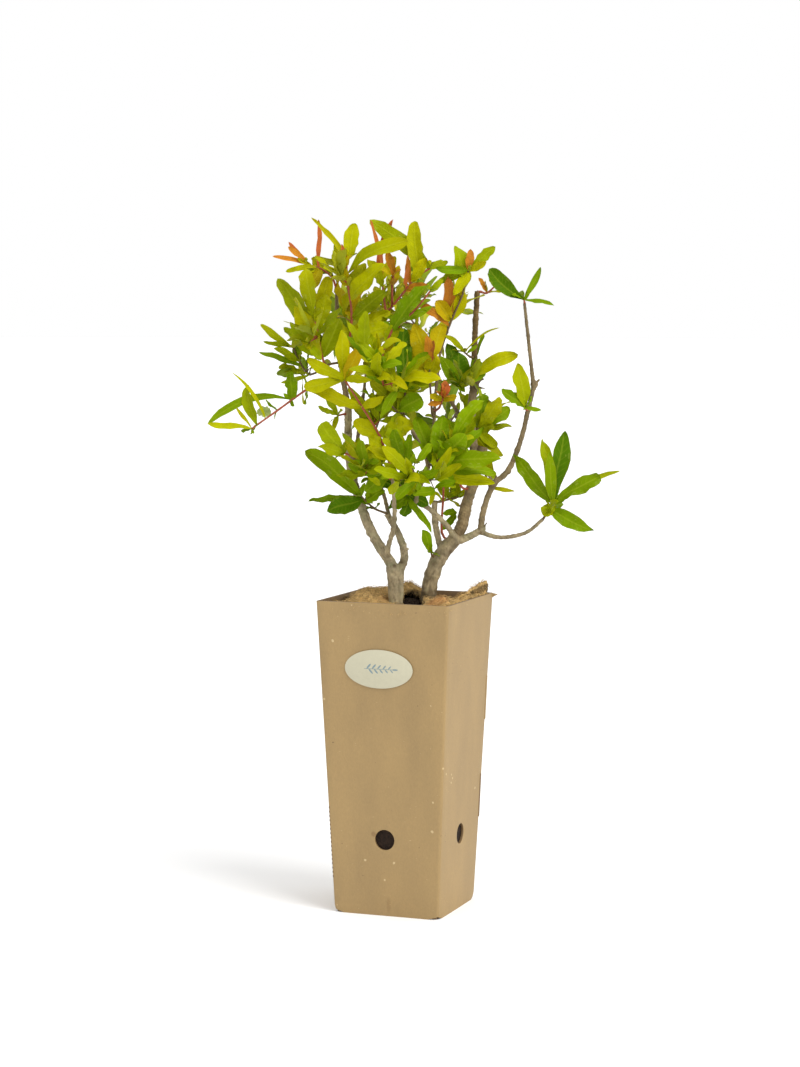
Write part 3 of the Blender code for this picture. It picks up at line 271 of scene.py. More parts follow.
# A shoot's stem leaves the bough, its own leaves reach the crown's outline, and its sprigs fill it
# in depth. tints are dealt out over the spray, and spread is how far the sprigs also lean across.
Shoot = namedtuple("Shoot", "name bough stem leaves tints bark sprigs reach spread",
                   defaults=(0, 0, 0.3))
SHOOTS = (
    Shoot("far_left", "bough_left_top",
          ((-64, 0, 441), (-81, -14, 433), (-94, -22, 424), (-105, -26, 416), (-122, -32, 404),
           (-126, -34, 401)),
          (Leaf(2, 196, -12, 73, 6.6, "leaf", 0.17), Leaf(2, 94, 15, 25, 9.3, "leaf"),
           Leaf(3.4, 150, 40, 14, 9.5, "pale"), Leaf(3.6, 124, -25, 52, 2.9, "lime", 0.05),
           Leaf(4, 103, 20, 36, 9.3, "olive"), Leaf(5, 173, -8, 37, 4.9, "lime"),
           Leaf(5, 127, 15, 23, 2.9, "lime")), "leaf", "red"),
    Shoot("left_fan", "bough_left_top", ((-66, 10, 452), (-80, 12, 444), (-89, 16, 455), (-94, 18, 466)),
          (Leaf(1, 196, 15, 27, 3.8), Leaf(1.6, 163, 12, 41, 5.5), Leaf(2, 152, -15, 25, 6.3),
           Leaf(2, 98, 20, 15, 6.8), Leaf(3, 145, 10, 35, 5.5), Leaf(3, 168, -15, 27, 4)),
          "fresh leaf fresh", "brown", 1, 18),
    Shoot("left_tuft", "bough_left_top",
          ((-63, -4, 444), (-69, -16, 459), (-73, -22, 481), (-76, -24, 490)),
          (Leaf(1, 118, -15, 50, 14.6, "lime"), Leaf(2, 128, 10, 55, 12.7, "olive", -0.04),
           Leaf(2, 78, -10, 32, 11.2), Leaf(1, 66, 12, 36, 12), Leaf(3, 100, 20, 46, 12.2),
           Leaf(3, 70, 6, 38, 10.5, "lime")), "fresh olive fresh", "red", 2, 20),
    Shoot("top_left", "bough_left_top", ((-58, 10, 514), (-62, 6, 525), (-72, 2, 532), (-82, 0, 535)),
          (Leaf(1, 140, 20, 22, 9.7, "lime"), Leaf(2.05, 91, 10, 41, 3.6, "red", 0.03),
           Leaf(2, 186, -15, 29, 4, "lime", 0.05), Leaf(3, 167, -10, 30, 3.4, "amber"),
           Leaf(3, 130, 10, 25, 3.8, "red"), Leaf(3, 137, -12, 22, 4.4, "amber"),
           Leaf(2.6, 152, -20, 15, 3, "lime"), Leaf(2, 250, -25, 22, 9, "gold"),
           Leaf(0.6, 108, 0, 22, 3, "leaf"), Leaf(1.4, 165, 24, 20, 6, "fresh")), "lime gold lime", "red"),
    Shoot("top", "bough_left_top",
          ((-50, -4, 462), (-45, -12, 490), (-48, -14, 517), (-49, -14, 526), (-49, -14, 537)),
          (Leaf(0.5, 148, 14, 36, 10.5, "lime"), Leaf(0.6, 27, 16, 40, 11.5, "lime"),
           Leaf(0.3, 21, -20, 40, 14.6, "lime"), Leaf(1, 39, -25, 41, 11.7, "olive"),
           Leaf(1.6, 46, -20, 44, 14, "lime"), Leaf(3, 29, -15, 60, 11.2, "fresh", -0.08),
           Leaf(1.8, 62, 18, 30, 11, "fresh"), Leaf(3, 133, 20, 18, 7.3, "amber"),
           Leaf(4, 78, 8, 33, 11, "lime"), Leaf(4, 129, 10, 48, 4.3, "lime", 0.06),
           Leaf(4, 106, -10, 16, 3.4, "red"), Leaf(2, 120, -15, 26, 9, "gold")),
          "lime gold lime fresh", "red", 2, 18),
    Shoot("top_right", "bough_left_top",
          ((-44, 12, 474), (-30, 10, 486), (-17, 8, 495), (-1, 6, 514), (7, 6, 524), (19, 8, 532)),
          (Leaf(3, 86, 0, 23, 3.8, "red"), Leaf(3.6, 60, -20, 26, 8, "lime"),
           Leaf(3.5, 95, 4, 25, 4.4, "amber"), Leaf(5, 141, 8, 65, 11.5, "fresh", 0.02),
           Leaf(4.3, 95, 8, 46, 11.2, "lime", -0.02), Leaf(5, 20, 12, 17, 7.5, "fresh"),
           Leaf(4, 60, -10, 20, 5, "gold"), Leaf(3, 12, -20, 22, 7, "amber")),
          "lime fresh lime", "red", 1, 18),
    Shoot("centre_top", "bough_centre", ((-24, -28, 450), (-12, -32, 481), (5, -34, 496), (19, -36, 513)),
          (Leaf(0.6, 64, -10, 21, 9.7), Leaf(1, 52, -15, 50, 14.4, "leaf"),
           Leaf(1.6, 26, 14, 27, 5.8, "leaf"), Leaf(3, 45, 0, 15, 4.9)), "lime fresh leaf", "red", 1, 18),
    Shoot("orange", "bough_inner", ((29, 14, 466), (37, 12, 489), (46, 8, 510), (51, 8, 530)),
          (Leaf(1, 95, -10, 38, 8.8, "amber"), Leaf(1, 65, 0, 27, 11, "lime"),
           Leaf(1, 128, -20, 23, 10.2, "gold"), Leaf(0.8, 140, -15, 44, 6.3, "amber"),
           Leaf(2.7, 108, 5, 29.5, 13.5, "fresh"), Leaf(3, 42, 10, 31, 7.8, "fresh"),
           Leaf(3, 202, 12, 30, 7.4, "fresh"), Leaf(3, 238, -15, 25, 8, "lime"),
           Leaf(3, 85, -10, 19, 6.3, "amber"), Leaf(3, 27, -20, 18, 5.8, "lime"),
           Leaf(3, 175, -15, 29, 6.8, "leaf")), "lime fresh gold", "brown", 1, 16),
    Shoot("yellow", "bough_inner", ((21, -18, 414), (19, -24, 443), (19, -26, 455)),
          (Leaf(2, 113, -10, 36, 15.1, "gold"), Leaf(2, 72, 0, 34, 11.2, "gold"),
           Leaf(2, 97, -35, 27, 6.5, "amber"), Leaf(2, 80, -38, 24, 5.5, "red"),
           Leaf(1, 117, 10, 45, 12.7, "gold"), Leaf(1, 76, -20, 21, 12.2, "lime"),
           Leaf(1, 170, -15, 29, 7.3, "lime")), "gold lime gold", "brown"),
    Shoot("leader_top", "leader_top", ((62, 27, 513), (67, 26, 512), (74, 24, 518)),
          (Leaf(2, 28, 0, 13, 3.4, "lime"), Leaf(2, 122, 10, 13, 3.8, "leaf"),
           Leaf(1, 118, 20, 16, 3.4, "amber")), "lime", "red"),
    Shoot("leader_mid", "leader_low", ((54, 16, 440), (47, 8, 437), (44, 2, 433)),
          (Leaf(2, 54, -10, 26, 10.7), Leaf(2, 92, 10, 31, 15.8, "deep"),
           Leaf(1, 111, 14, 38, 12.2, "deep"), Leaf(2, 121, 6, 32, 10, "leaf"),
           Leaf(0.5, 29, -14, 50, 10, "lime", -0.09), Leaf(0.6, 69, 24, 47, 3.4, "leaf")),
          "fresh leaf olive", "brown", 1, 14),
    Shoot("right_cluster", "bough_outer_riser", ((99, -3, 416), (98, -6, 418)),
          (Leaf(1, 101, -5, 38, 12.4, "fresh"), Leaf(1, 143, -10, 26, 8.8, "leaf"),
           Leaf(1, 350, -8, 14, 3.4, "leaf")), "leaf", "red"),
    Shoot("right_top", "bough_outer_top", ((97, -4, 504), (96.5, -6, 506.5)),
          (Leaf(1, 139, -5, 39, 12.2, "deep", -0.05), Leaf(1, 63, 10, 31, 4.9, "leaf"),
           Leaf(1, 349, -10, 26, 3.6, "leaf"), Leaf(1, 110, 70, 22, 5, "leaf")), "leaf", "red"),
    Shoot("far_right", "bough_far_right", ((115, -12, 329), (119, -14, 334), (121.5, -14, 339)),
          (Leaf(2, 129, 10, 54, 11, "leaf", -0.02), Leaf(2, 100, 20, 57, 9.8, "fresh"),
           Leaf(2, 96, -15, 46, 8.5, "leaf"), Leaf(2, 82, 0, 61.5, 14.6, "deep", -0.02),
           Leaf(2, 32, -10, 46, 11.7, "leaf"), Leaf(2, 25, 15, 65, 4.6, "fresh", -0.07),
           Leaf(1, 335, -20, 42, 11.6, "leaf", 0.02), Leaf(0.5, 60, -60, 26, 8, "fresh"),
           Leaf(1, 40, 66, 34, 9, "leaf"), Leaf(2, 226, -20, 14, 9.5, "fresh")), "leaf fresh", "brown"),
    Shoot("right_low", "bough_outer_riser", ((70, 12, 350), (66, 17, 362), (62, 18, 371)),
          (Leaf(0, 352, 10, 22, 3.4, "lime"), Leaf(1, 341, 20, 12, 6), Leaf(2, 225, 20, 16, 6.3),
           Leaf(2, 80, 40, 18, 6)), "leaf fresh", "brown"),
    Shoot("centre_right", "leader_low", ((57, 22, 392), (60, 32, 399), (62, 38, 406)),
          (Leaf(1, 54, -10, 33, 12.2, "fresh"), Leaf(1, 33, 10, 33, 10.2, "leaf"), Leaf(1, 6, -15, 15, 11),
           Leaf(2, 82, 10, 23, 11.2, "leaf"), Leaf(0.5, 327, -10, 22, 7.8),
           Leaf(1, 107, 5, 31, 11.2, "olive"), Leaf(0, 301, 8, 35, 10, "lime"), Leaf(0.3, 322, -4, 30, 9)),
          "olive fresh leaf", "brown", 1, 12),
    Shoot("centre_low", "bough_cross_riser", ((19, -28, 371), (26, -36, 376), (37, -40, 391)),
          (Leaf(0.5, 5, -12, 56, 14.1, "leaf"), Leaf(1, 45, -20, 33, 14.6), Leaf(1, 84, 10, 38, 14.6),
           Leaf(0.3, 317, -15, 27, 9.7), Leaf(2, 53, 0, 43, 10.7), Leaf(0.4, 350, 10, 54, 11),
           Leaf(0.2, 108, 14, 42, 14), Leaf(0.6, 340, 16, 56, 10, "lime", 0.05)),
          "leaf fresh leaf", "brown", 1, 18),
    Shoot("centre", "bough_centre", ((-2, -28, 411), (-7, -34, 415), (-12, -38, 420)),
          (Leaf(1, 31, -10, 24, 14.6), Leaf(1, 62, 12, 36, 12.5), Leaf(1, 109, 10, 31, 12.2),
           Leaf(2, 166, 10, 20, 10.7), Leaf(1, 264, -15, 34, 12.2)), "fresh leaf olive", "brown", 1, 18),
    Shoot("centre_left", "bough_front",
          ((-14, -34, 374), (-22, -36, 396), (-36, -38, 419), (-50, -40, 441)),
          (Leaf(3, 190, -10, 35, 9.7, "lime"), Leaf(3, 1, -20, 24, 6.3, "lime"),
           Leaf(3, 68, -5, 30, 9.7, "gold"), Leaf(3, 94, 10, 42, 10.7, "lime"),
           Leaf(2, 160, 5, 47, 9.3, "lime"), Leaf(3, 150, -20, 38, 8.3, "lime"),
           Leaf(2, 27, -10, 21, 7.3, "lime"), Leaf(1, 151, 10, 25, 11.2), Leaf(1, 17, -15, 31, 14.6),
           Leaf(0.5, 143, -20, 20, 9.7)), "fresh lime fresh", "red", 1, 16),
    Shoot("left_low", "bough_front", ((-14, -35, 361), (-21, -40, 367), (-34, -44, 375), (-50, -46, 382)),
          (Leaf(3, 166, -10, 24, 8.3, "fresh"), Leaf(3, 128, 10, 32, 13.2, "fresh"),
           Leaf(2, 134, -10, 24, 9.7), Leaf(1, 166, -20, 29, 12.2), Leaf(1, 118, 10, 26, 9.7),
           Leaf(0.5, 220, -15, 22, 12.2, "leaf")), "fresh leaf olive", "red", 2, 18),
    Shoot("left_lower", "bough_mid", ((-17, -2, 330), (-26, -8, 334), (-33, -16, 341), (-37, -18, 345)),
          (Leaf(3, 141, -8, 61, 13.2, "leaf", 0.02), Leaf(2.5, 198, -15, 33, 13.6, "deep"),
           Leaf(2.5, 184, 8, 47, 6.3, "leaf"), Leaf(1.5, 164, 20, 30, 3.8), Leaf(2, 30, -20, 20, 8.8)),
          "leaf", "brown"),
    Shoot("centre_base", "bough_cross", ((4, -22, 343), (-1, -25, 348), (-5, -27, 355)),
          (Leaf(1, 46, -10, 19, 13, "fresh"), Leaf(0.5, 218, -20, 18, 11), Leaf(0.5, 304, -25, 38.5, 5.2),
           Leaf(0.2, 246, -15, 17, 9.5), Leaf(1, 332, 15, 23, 10.2), Leaf(2, 171, 12, 18, 10.7)),
          "leaf deep", "brown", 1, 14),
    Shoot("trunk", "trunk_right", ((22, 4, 294), (21, -2, 297)),
          (Leaf(1, 112, -10, 22, 7.5, "leaf"), Leaf(1, 118, -50, 12, 4)), "leaf", "brown"),
    Shoot("stub", "bough_stub", ((28, 30, 337), (36, 32, 339), (44, 33, 341)),
          (Leaf(1, 112, 10, 17, 9.7), Leaf(2, 43, 0, 12, 4.9), Leaf(1, 43, 20, 14, 7.3),
           Leaf(2, 106, 20, 16, 8.3)), "leaf fresh", "brown"),
    Shoot("red_shoot", "trunk_right", ((30, 18, 312), (31, 22, 338), (32, 26, 363), (33, 28, 377)),
          (Leaf(0.1, 46, 18, 19, 5.5), Leaf(0.6, 5, 10, 13, 5.8), Leaf(2, 333, 10, 16, 7.3),
           Leaf(3, 113, 0, 22, 10.7), Leaf(3, 46, -15, 20, 7.3)), "leaf deep fresh", "red"),
    Shoot("bough_end", "bough_centre", ((-33, -20, 447), (-27, -18, 455), (-22, -16, 460)),
          (Leaf(1, 4, -10, 24, 9), Leaf(2, 35, 10, 22, 9.7), Leaf(1, 135, 10, 22, 10),
           Leaf(1, 301, -10, 18, 9)), "lime gold", "brown"),
    Shoot("left_spur", "bough_left", ((-51, -3, 412), (-56, -8, 411)),
          (Leaf(1, 155, 0, 19, 4), Leaf(1, 118, 15, 22, 5.8), Leaf(1, 249, -20, 14, 4)), "fresh", "red"),
    Shoot("back_left", "bough_back_left", ((-34, 62, 449), (-38, 78, 470), (-42, 88, 490)),
          (), "fresh leaf lime", "brown", 4, 26, 1.0),
    Shoot("back_mid", "bough_mid_top", ((-27, 18, 394), (-20, 36, 412), (-10, 52, 430)),
          (), "leaf fresh", "brown", 3, 22, 0.8),
    Shoot("back_right", "bough_back_right", ((17, 75, 471), (8, 86, 484), (0, 92, 496)),
          (), "leaf fresh lime", "brown", 3, 24, 0.9),
    Shoot("back_low", "bough_back_right", ((42, 42, 411), (38, 60, 404), (34, 78, 398)),
          (), "leaf deep fresh", "brown", 3, 22, 0.7),
    Shoot("front_low", "bough_cross_riser", ((12, -30, 354), (8, -52, 362), (4, -76, 374)),
          (), "leaf fresh", "brown", 3, 22, 0.8),
    Shoot("front_top", "bough_centre", ((-18, -26, 432), (-20, -52, 444), (-22, -80, 458)),
          (), "lime fresh leaf", "red", 3, 24, 0.9),
)

# Bare twigs and lone leaves that grow from a bough or, with no bough named, from a shoot's stem
EXTRAS = (
    Shoot("dark_leaf", "bough_centre", ((-2, -28, 414), (-1, -32, 431)),
          (Leaf(1, 91, 5, 53, 13.5, "deep"), Leaf(0.8, 150, -20, 22, 8, "fresh")), "fresh", "brown"),
    Shoot("bud", "bough_inner", ((27, -16, 418), (30, -22, 426)),
          (Leaf(1, 84, -20, 16, 5.5, "red"), Leaf(1, 97, -30, 15, 4.5, "red"),
           Leaf(1, 70, -25, 15, 4.5, "red"), Leaf(1, 86, -50, 12, 4.5, "amber"),
           Leaf(0.8, 160, -25, 13, 5, "gold"), Leaf(0.6, 190, -20, 13, 4.5, "amber"),
           Leaf(0.7, 20, -20, 14, 5, "gold")), "gold amber", "red"),
    Shoot("red_twig", "bough_right", ((45.5, 4, 352), (46, 2, 370), (45, 1, 389)),
          (Leaf(2, 120, -10, 24, 8), Leaf(2, 60, -10, 26, 9, "fresh")), "leaf fresh", "red"),
    Shoot("leader_twig", "leader_top", ((53, 18, 459), (48, 14, 463)),
          (Leaf(1, 35, -5, 36, 1.6, "lime", -0.05), Leaf(1, 139, -8, 22, 4.5, "fresh", 0.05),
           Leaf(0.6, 40, 10, 12, 3, "leaf")), "lime", "brown"),
    Shoot("red_pair", "", ((-17, 8, 495), (-19, 12, 509), (-20.4, 16, 523)),
          (Leaf(2, 80, 5, 51.5, 6.2, "red", -0.05), Leaf(2, 101, -10, 51, 3.4, "red", 0.05),
           Leaf(2, 60, 20, 24, 8, "lime"), Leaf(1.5, 120, -10, 28, 9, "fresh")), "lime", "red"),
    Shoot("hanging_leaf", "", ((-12, 8, 501), (-12, 2, 518), (-11, 0, 526)),
          (Leaf(2, 103, -10, 25, 6.5, "amber"), Leaf(1, 70, 0, 18, 6, "gold"),
           Leaf(2, 150, -5, 16, 4, "gold")), "gold amber", "red"),
)

# The warmer colour that each tint drifts to at tip and rim
BLUSH = {"leaf": (0.22, 0.3, 0.0), "deep": (0.1, 0.2, 0.0), "fresh": (0.42, 0.36, 0.0),
         "lime": (0.43, 0.35, 0.0), "olive": (0.34, 0.28, 0.0), "gold": (0.5, 0.27, 0.004),
         "amber": (0.5, 0.15, 0.03), "red": (0.5, 0.19, 0.03), "pale": (0.4, 0.44, 0.14)}

# One leaf ready to be built, in crown millimetres
Blade = namedtuple("Blade", "base along facing length width arch tint droop")


def srgb(red, green, blue):
    """A colour seen as 0 to 255 in the linear values that shaders take."""
    return tuple(((c / 255 + 0.055) / 1.055) ** 2.4 if c > 10 else c / 3295 for c in (red, green, blue))


# Settings
def colour_property(name, description, default):
    return bpy.props.FloatVectorProperty(name=name, description=description, subtype="COLOR",
                                         size=3, min=0, max=1, default=default)


def length_property(name, description, default):
    return bpy.props.FloatProperty(name=name, description=description, default=default,
                                   unit="LENGTH")


class PlanterSettings(bpy.types.PropertyGroup):
    """Sizes and colours of the planter and what fills it."""

    board: length_property("Board", "Thickness of the card walls", 0.002)
    crease: length_property("Crease", "Rounding of the folded corners", 0.0024)
    vent: length_property("Vent", "Diameter of the vent holes", 0.017)
    fibres: bpy.props.IntProperty(name="Fibres", description="Loose fibres on the mat",
                                  default=8000)
    card: colour_property("Card", "Kraft card outside", srgb(151, 123, 74))
    card_inside: colour_property("Card inside", "Kraft card inside and cut edges", srgb(116, 90, 54))
    label: colour_property("Label", "Label paper", srgb(186, 181, 156))
    ink: colour_property("Ink", "Printed sprig", srgb(120, 138, 142))
    coir: colour_property("Coir", "Coconut fibre mat", srgb(202, 166, 106))
    soil: colour_property("Soil", "Moist potting mix", srgb(36, 25, 17))


class CrownSettings(bpy.types.PropertyGroup):
    """Colours of the bark and of the leaves' tints."""

    old_bark: colour_property("Old bark", "Grey bark of the stems", srgb(156, 142, 111))
    young_bark: colour_property("Young bark", "Brown bark of the young boughs", srgb(102, 80, 44))
    red_bark: colour_property("Red bark", "Bark of this year's shoots", srgb(152, 72, 44))
    sawn: colour_property("Sawn wood", "Cut ends", srgb(196, 184, 158))
    leaf: colour_property("Leaf", "Grown leaf", srgb(104, 132, 0))
    deep: colour_property("Deep", "Oldest, darkest leaf", srgb(66, 100, 0))
    fresh: colour_property("Fresh", "Yellow-green leaf", srgb(136, 150, 0))
    lime: colour_property("Lime", "Young yellow leaf", srgb(162, 164, 0))
    olive: colour_property("Olive", "Dull green leaf", srgb(122, 136, 0))
    gold: colour_property("Gold", "Golden leaf", srgb(170, 155, 4))
    amber: colour_property("Amber", "Orange leaf", srgb(188, 124, 30))
    red: colour_property("Red", "Newest red leaf", srgb(176, 90, 46))
    pale: colour_property("Pale", "Leaf seen from its pale underside", srgb(158, 172, 104))


class StageSettings(bpy.types.PropertyGroup):
    """Camera, floor and lights."""

    azimuth: bpy.props.FloatProperty(name="Azimuth", description="Camera's turn round the planter",
                                     default=math.radians(20.265), subtype="ANGLE")
    elevation: bpy.props.FloatProperty(name="Elevation", description="Camera's height in degrees",
                                       default=math.radians(4.836), subtype="ANGLE")
    distance: length_property("Distance", "Camera to target", 2.2238)
    lens: bpy.props.FloatProperty(name="Lens", description="Focal length in millimetres",
                                  default=90.35)
    sky: bpy.props.FloatProperty(name="Sky", description="Strength of the even light", default=1.0)
    key: bpy.props.FloatProperty(name="Key", description="Strength of the soft key light",
                                 default=1.9)


# Shader tools
def node(tree, kind, inputs=None, **settings):
    """A shader node with its settings, and its inputs linked or set by name."""
    made = tree.nodes.new(kind)
    for name, value in settings.items():
        setattr(made, name, value)
    for socket, value in (inputs or {}).items():
        if isinstance(value, bpy.types.NodeSocket):
            tree.links.new(value, made.inputs[socket])
        else:
            made.inputs[socket].default_value = value
    return made


def maths(tree, operation, *values):
    return node(tree, "ShaderNodeMath", dict(enumerate(values)), operation=operation).outputs[0]


def blend(tree, share, first, second, kind="MIX"):
    """Two colours mixed by a share, each a socket or a plain colour."""
    colours = [c if isinstance(c, bpy.types.NodeSocket) else (*c, 1) for c in (first, second)]
    made = node(tree, "ShaderNodeMix", {0: share, 6: colours[0], 7: colours[1]}, data_type="RGBA",
                blend_type=kind)
    return made.outputs[2]


def spread(tree, value, low, high):
    """A value's range from low to high stretched to 0 to 1, with soft ends."""
    made = node(tree, "ShaderNodeMapRange", {"Value": value, "From Min": low, "From Max": high},
                interpolation_type="SMOOTHSTEP")
    return made.outputs[0]


def new_tree(name, kind, inputs, outputs):
    """An empty node tree with named sockets, its inputs' sockets and its outputs'."""
    tree = bpy.data.node_groups.new(name, kind + "NodeTree")
    for way, sockets in (("INPUT", inputs), ("OUTPUT", outputs)):
        for label, holds, *default in sockets:
            socket = tree.interface.new_socket(label, in_out=way, socket_type="NodeSocket" + holds)
            if default:
                socket.default_value = default[0]
    return tree, tree.nodes.new("NodeGroupInput").outputs, tree.nodes.new("NodeGroupOutput").inputs


def place_group(tree, name, inputs):
    return node(tree, "ShaderNodeGroup", inputs, node_tree=bpy.data.node_groups[name]).outputs


def vectors(tree, operation, inputs, output=0):
    return node(tree, "ShaderNodeVectorMath", inputs, operation=operation).outputs[output]


def tall_cells(tree, vector, factor):
    """A place whose height is multiplied, so that a pattern on it lies flatter or stands taller."""
    parts = node(tree, "ShaderNodeSeparateXYZ", {0: vector}).outputs
    tall = maths(tree, "MULTIPLY", parts[2], factor)
    return node(tree, "ShaderNodeCombineXYZ", {0: parts[0], 1: parts[1], 2: tall}).outputs[0]


def overlaid(tree, mask, strength, look, colour):
    """A colour laid over a look where a mask says so."""
    return blend(tree, maths(tree, "MULTIPLY", mask, strength), look, colour)


def mark(tree, name):
    """A number that the mesh carries at each point."""
    return node(tree, "ShaderNodeAttribute", attribute_name=name).outputs["Fac"]


def mottle_group():
    """Uneven colour: a base drifts towards a darker and a lighter tone in soft patches."""
    group, given, result = new_tree(
        "mottle", "Shader",
        (("Vector", "Vector"), ("Base", "Color", (0.5, 0.5, 0.5, 1)), ("Size", "Float", 0.01),
         ("Dark", "Float", 0.75), ("Light", "Float", 1.2), ("Stretch", "Float", 1.0)),
        (("Color", "Color"), ("Height", "Float")))
    patches = node(group, "ShaderNodeTexNoise",
                   {"Vector": tall_cells(group, given["Vector"], given["Stretch"]),
                    "Scale": maths(group, "DIVIDE", 1.0, given["Size"]), "Detail": 5.0,
                    "Roughness": 0.62}).outputs[0]
    tone = node(group, "ShaderNodeMapRange", {"Value": patches, "From Min": 0.3, "From Max": 0.7,
                                              "To Min": given["Dark"], "To Max": given["Light"]})
    hue = vectors(group, "SCALE", {0: given["Base"], "Scale": tone.outputs[0]})
    group.links.new(hue, result["Color"])
    group.links.new(patches, result["Height"])


def fleck_group():
    """Scattered flecks, such as fibres in pulp: a mask of small stretched cells."""
    group, given, result = new_tree(
        "flecks", "Shader",
        (("Vector", "Vector"), ("Size", "Float", 0.004), ("Share", "Float", 0.2),
         ("Flatten", "Float", 1.0)),
        (("Mask", "Float"),))
    warp = node(group, "ShaderNodeTexNoise", {"Vector": given["Vector"], "Scale": 260.0})
    bent = vectors(group, "SCALE", {0: warp.outputs["Color"], "Scale": 0.0022})
    moved = vectors(group, "ADD", {0: given["Vector"], 1: bent})
    cells = node(group, "ShaderNodeTexVoronoi",
                 {"Vector": tall_cells(group, moved, given["Flatten"]),
                  "Scale": maths(group, "DIVIDE", 1.0, given["Size"])})
    dot = maths(group, "LESS_THAN", cells.outputs["Distance"], 0.13)
    chance = node(group, "ShaderNodeSeparateColor", {0: cells.outputs["Color"]}).outputs[0]
    kept = maths(group, "LESS_THAN", chance, given["Share"])
    group.links.new(maths(group, "MULTIPLY", dot, kept), result["Mask"])


def vein_group():
    """A leaf's veins from its own map: u runs across the blade, v from foot to tip."""
    group, given, result = new_tree(
        "veins", "Shader", (("UV", "Vector"),),
        (("Midrib", "Float"), ("Veins", "Float"), ("Edge", "Float"), ("Along", "Float")))
    parts = node(group, "ShaderNodeSeparateXYZ", {0: given["UV"]}).outputs
    off = maths(group, "ABSOLUTE", maths(group, "SUBTRACT", maths(group, "MULTIPLY", parts[0], 2.0), 1.0))
    midrib = maths(group, "SUBTRACT", 1.0, spread(group, off, 0.03, 0.16))
    lean = maths(group, "SUBTRACT", maths(group, "MULTIPLY", parts[1], 11.0),
                 maths(group, "MULTIPLY", off, 1.5))
    saw = maths(group, "ABSOLUTE", maths(group, "SUBTRACT", maths(group, "FRACT", lean), 0.5))
    side = maths(group, "SUBTRACT", 1.0, spread(group, saw, 0.03, 0.16))
    fade = maths(group, "SUBTRACT", 1.0, spread(group, off, 0.5, 0.95))
    group.links.new(midrib, result["Midrib"])
    group.links.new(maths(group, "MULTIPLY", side, fade), result["Veins"])
    group.links.new(spread(group, off, 0.8, 1.0), result["Edge"])
    group.links.new(parts[1], result["Along"])


def new_material(name, roughness, specular=0.5):
    """A material, its tree and its Principled shader."""
    made = bpy.data.materials.new(name)
    made.use_nodes = True
    shader = made.node_tree.nodes["Principled BSDF"]
    shader.inputs["Roughness"].default_value = roughness
    shader.inputs["Specular IOR Level"].default_value = specular
    return made, made.node_tree, shader


def object_place(tree):
    return node(tree, "ShaderNodeTexCoord").outputs["Object"]


def finish_surface(tree, shader, look, height, depth, strength=1.0):
    """Gives a shader its colour and a bump that is so many metres deep."""
    tree.links.new(look, shader.inputs["Base Color"])
    bump = node(tree, "ShaderNodeBump", {"Height": height, "Distance": depth, "Strength": strength})
    tree.links.new(bump.outputs[0], shader.inputs["Normal"])


def with_stains_and_shade(tree, place, look, stain_and_shade_ovals):
    """A colour with soft ovals at places given in millimetres: stain colours, and on the mat also painted
    shade.
    """
    for spot, reach, strength, shade in stain_and_shade_ovals:
        offset = vectors(tree, "SUBTRACT", {0: place, 1: Vector(spot) * MM})
        scaled = vectors(tree, "MULTIPLY", {0: offset, 1: [1000 / r for r in reach]})
        far = vectors(tree, "LENGTH", {0: scaled}, "Value")
        near = maths(tree, "SUBTRACT", 1.0, spread(tree, far, 0.5, 1.15))
        look = overlaid(tree, near, strength, look, srgb(*shade))
    return look


# Materials
def kraft_card(name, colour, dark=0.9, light=1.08):
    """Recycled kraft board: soft clouds, pale and dark fibre flecks, and a faint tooth."""
    made, tree, shader = new_material(name, 0.6, 0.75)
    place = object_place(tree)
    clouds = place_group(tree, "mottle", {"Vector": place, "Base": (*colour, 1), "Size": 0.03,
                                          "Dark": dark, "Light": light, "Stretch": 0.35})
    grain = place_group(tree, "mottle", {"Vector": place, "Base": clouds["Color"], "Size": 0.0012,
                                         "Dark": 0.93, "Light": 1.07, "Stretch": 0.5})
    look = grain["Color"]
    for size, share, flatten, strength, shade in FLECKS:
        mask = place_group(tree, "flecks", {"Vector": place, "Size": size, "Share": share,
                                            "Flatten": flatten})["Mask"]
        look = overlaid(tree, mask, strength, look, srgb(*shade))
    if name == "kraft card":
        look = with_stains_and_shade(tree, place, look, STAINS)
    finish_surface(tree, shader, look, grain["Height"], 0.00012, 0.6)
    return made


def mottled(name, colour, finish, size=None):
    """Paper, earth or young bark: one colour in soft patches, with the kind's own roughness and bump."""
    roughness, specular, usual, dark, light, depth, strength = MOTTLED[finish]
    made, tree, shader = new_material(name, roughness, specular)
    tone = place_group(tree, "mottle", {"Vector": object_place(tree), "Base": (*colour, 1),
                                        "Size": size or usual, "Dark": dark, "Light": light})
    finish_surface(tree, shader, tone["Color"], tone["Height"], depth, strength)
    return made


def coir_fibre(name, colour):
    """Felted coconut fibre: fine crossing strands over soft brown patches whose dark end also paints the
    shade of crevices between tufts.
    """
    made, tree, shader = new_material(name, 0.92, 0.2)
    place = object_place(tree)
    # Brown patches that differ at random; their strong dark end is painted shade of crevices.
    patches = place_group(tree, "mottle", {"Vector": place, "Base": (*colour, 1), "Size": 0.0045,
                                           "Dark": 0.42, "Light": 1.4})
    strands = place_group(tree, "mottle", {"Vector": place, "Base": patches["Color"],
                                           "Size": 0.0007, "Dark": 0.5, "Light": 1.35})
    # The mat's ovals lay painted shade as well as stain colour over the fibre.
    look = with_stains_and_shade(tree, place, strands["Color"], MAT_STAINS_AND_SHADE)
    finish_surface(tree, shader, look, strands["Height"], 0.0006)
    return made


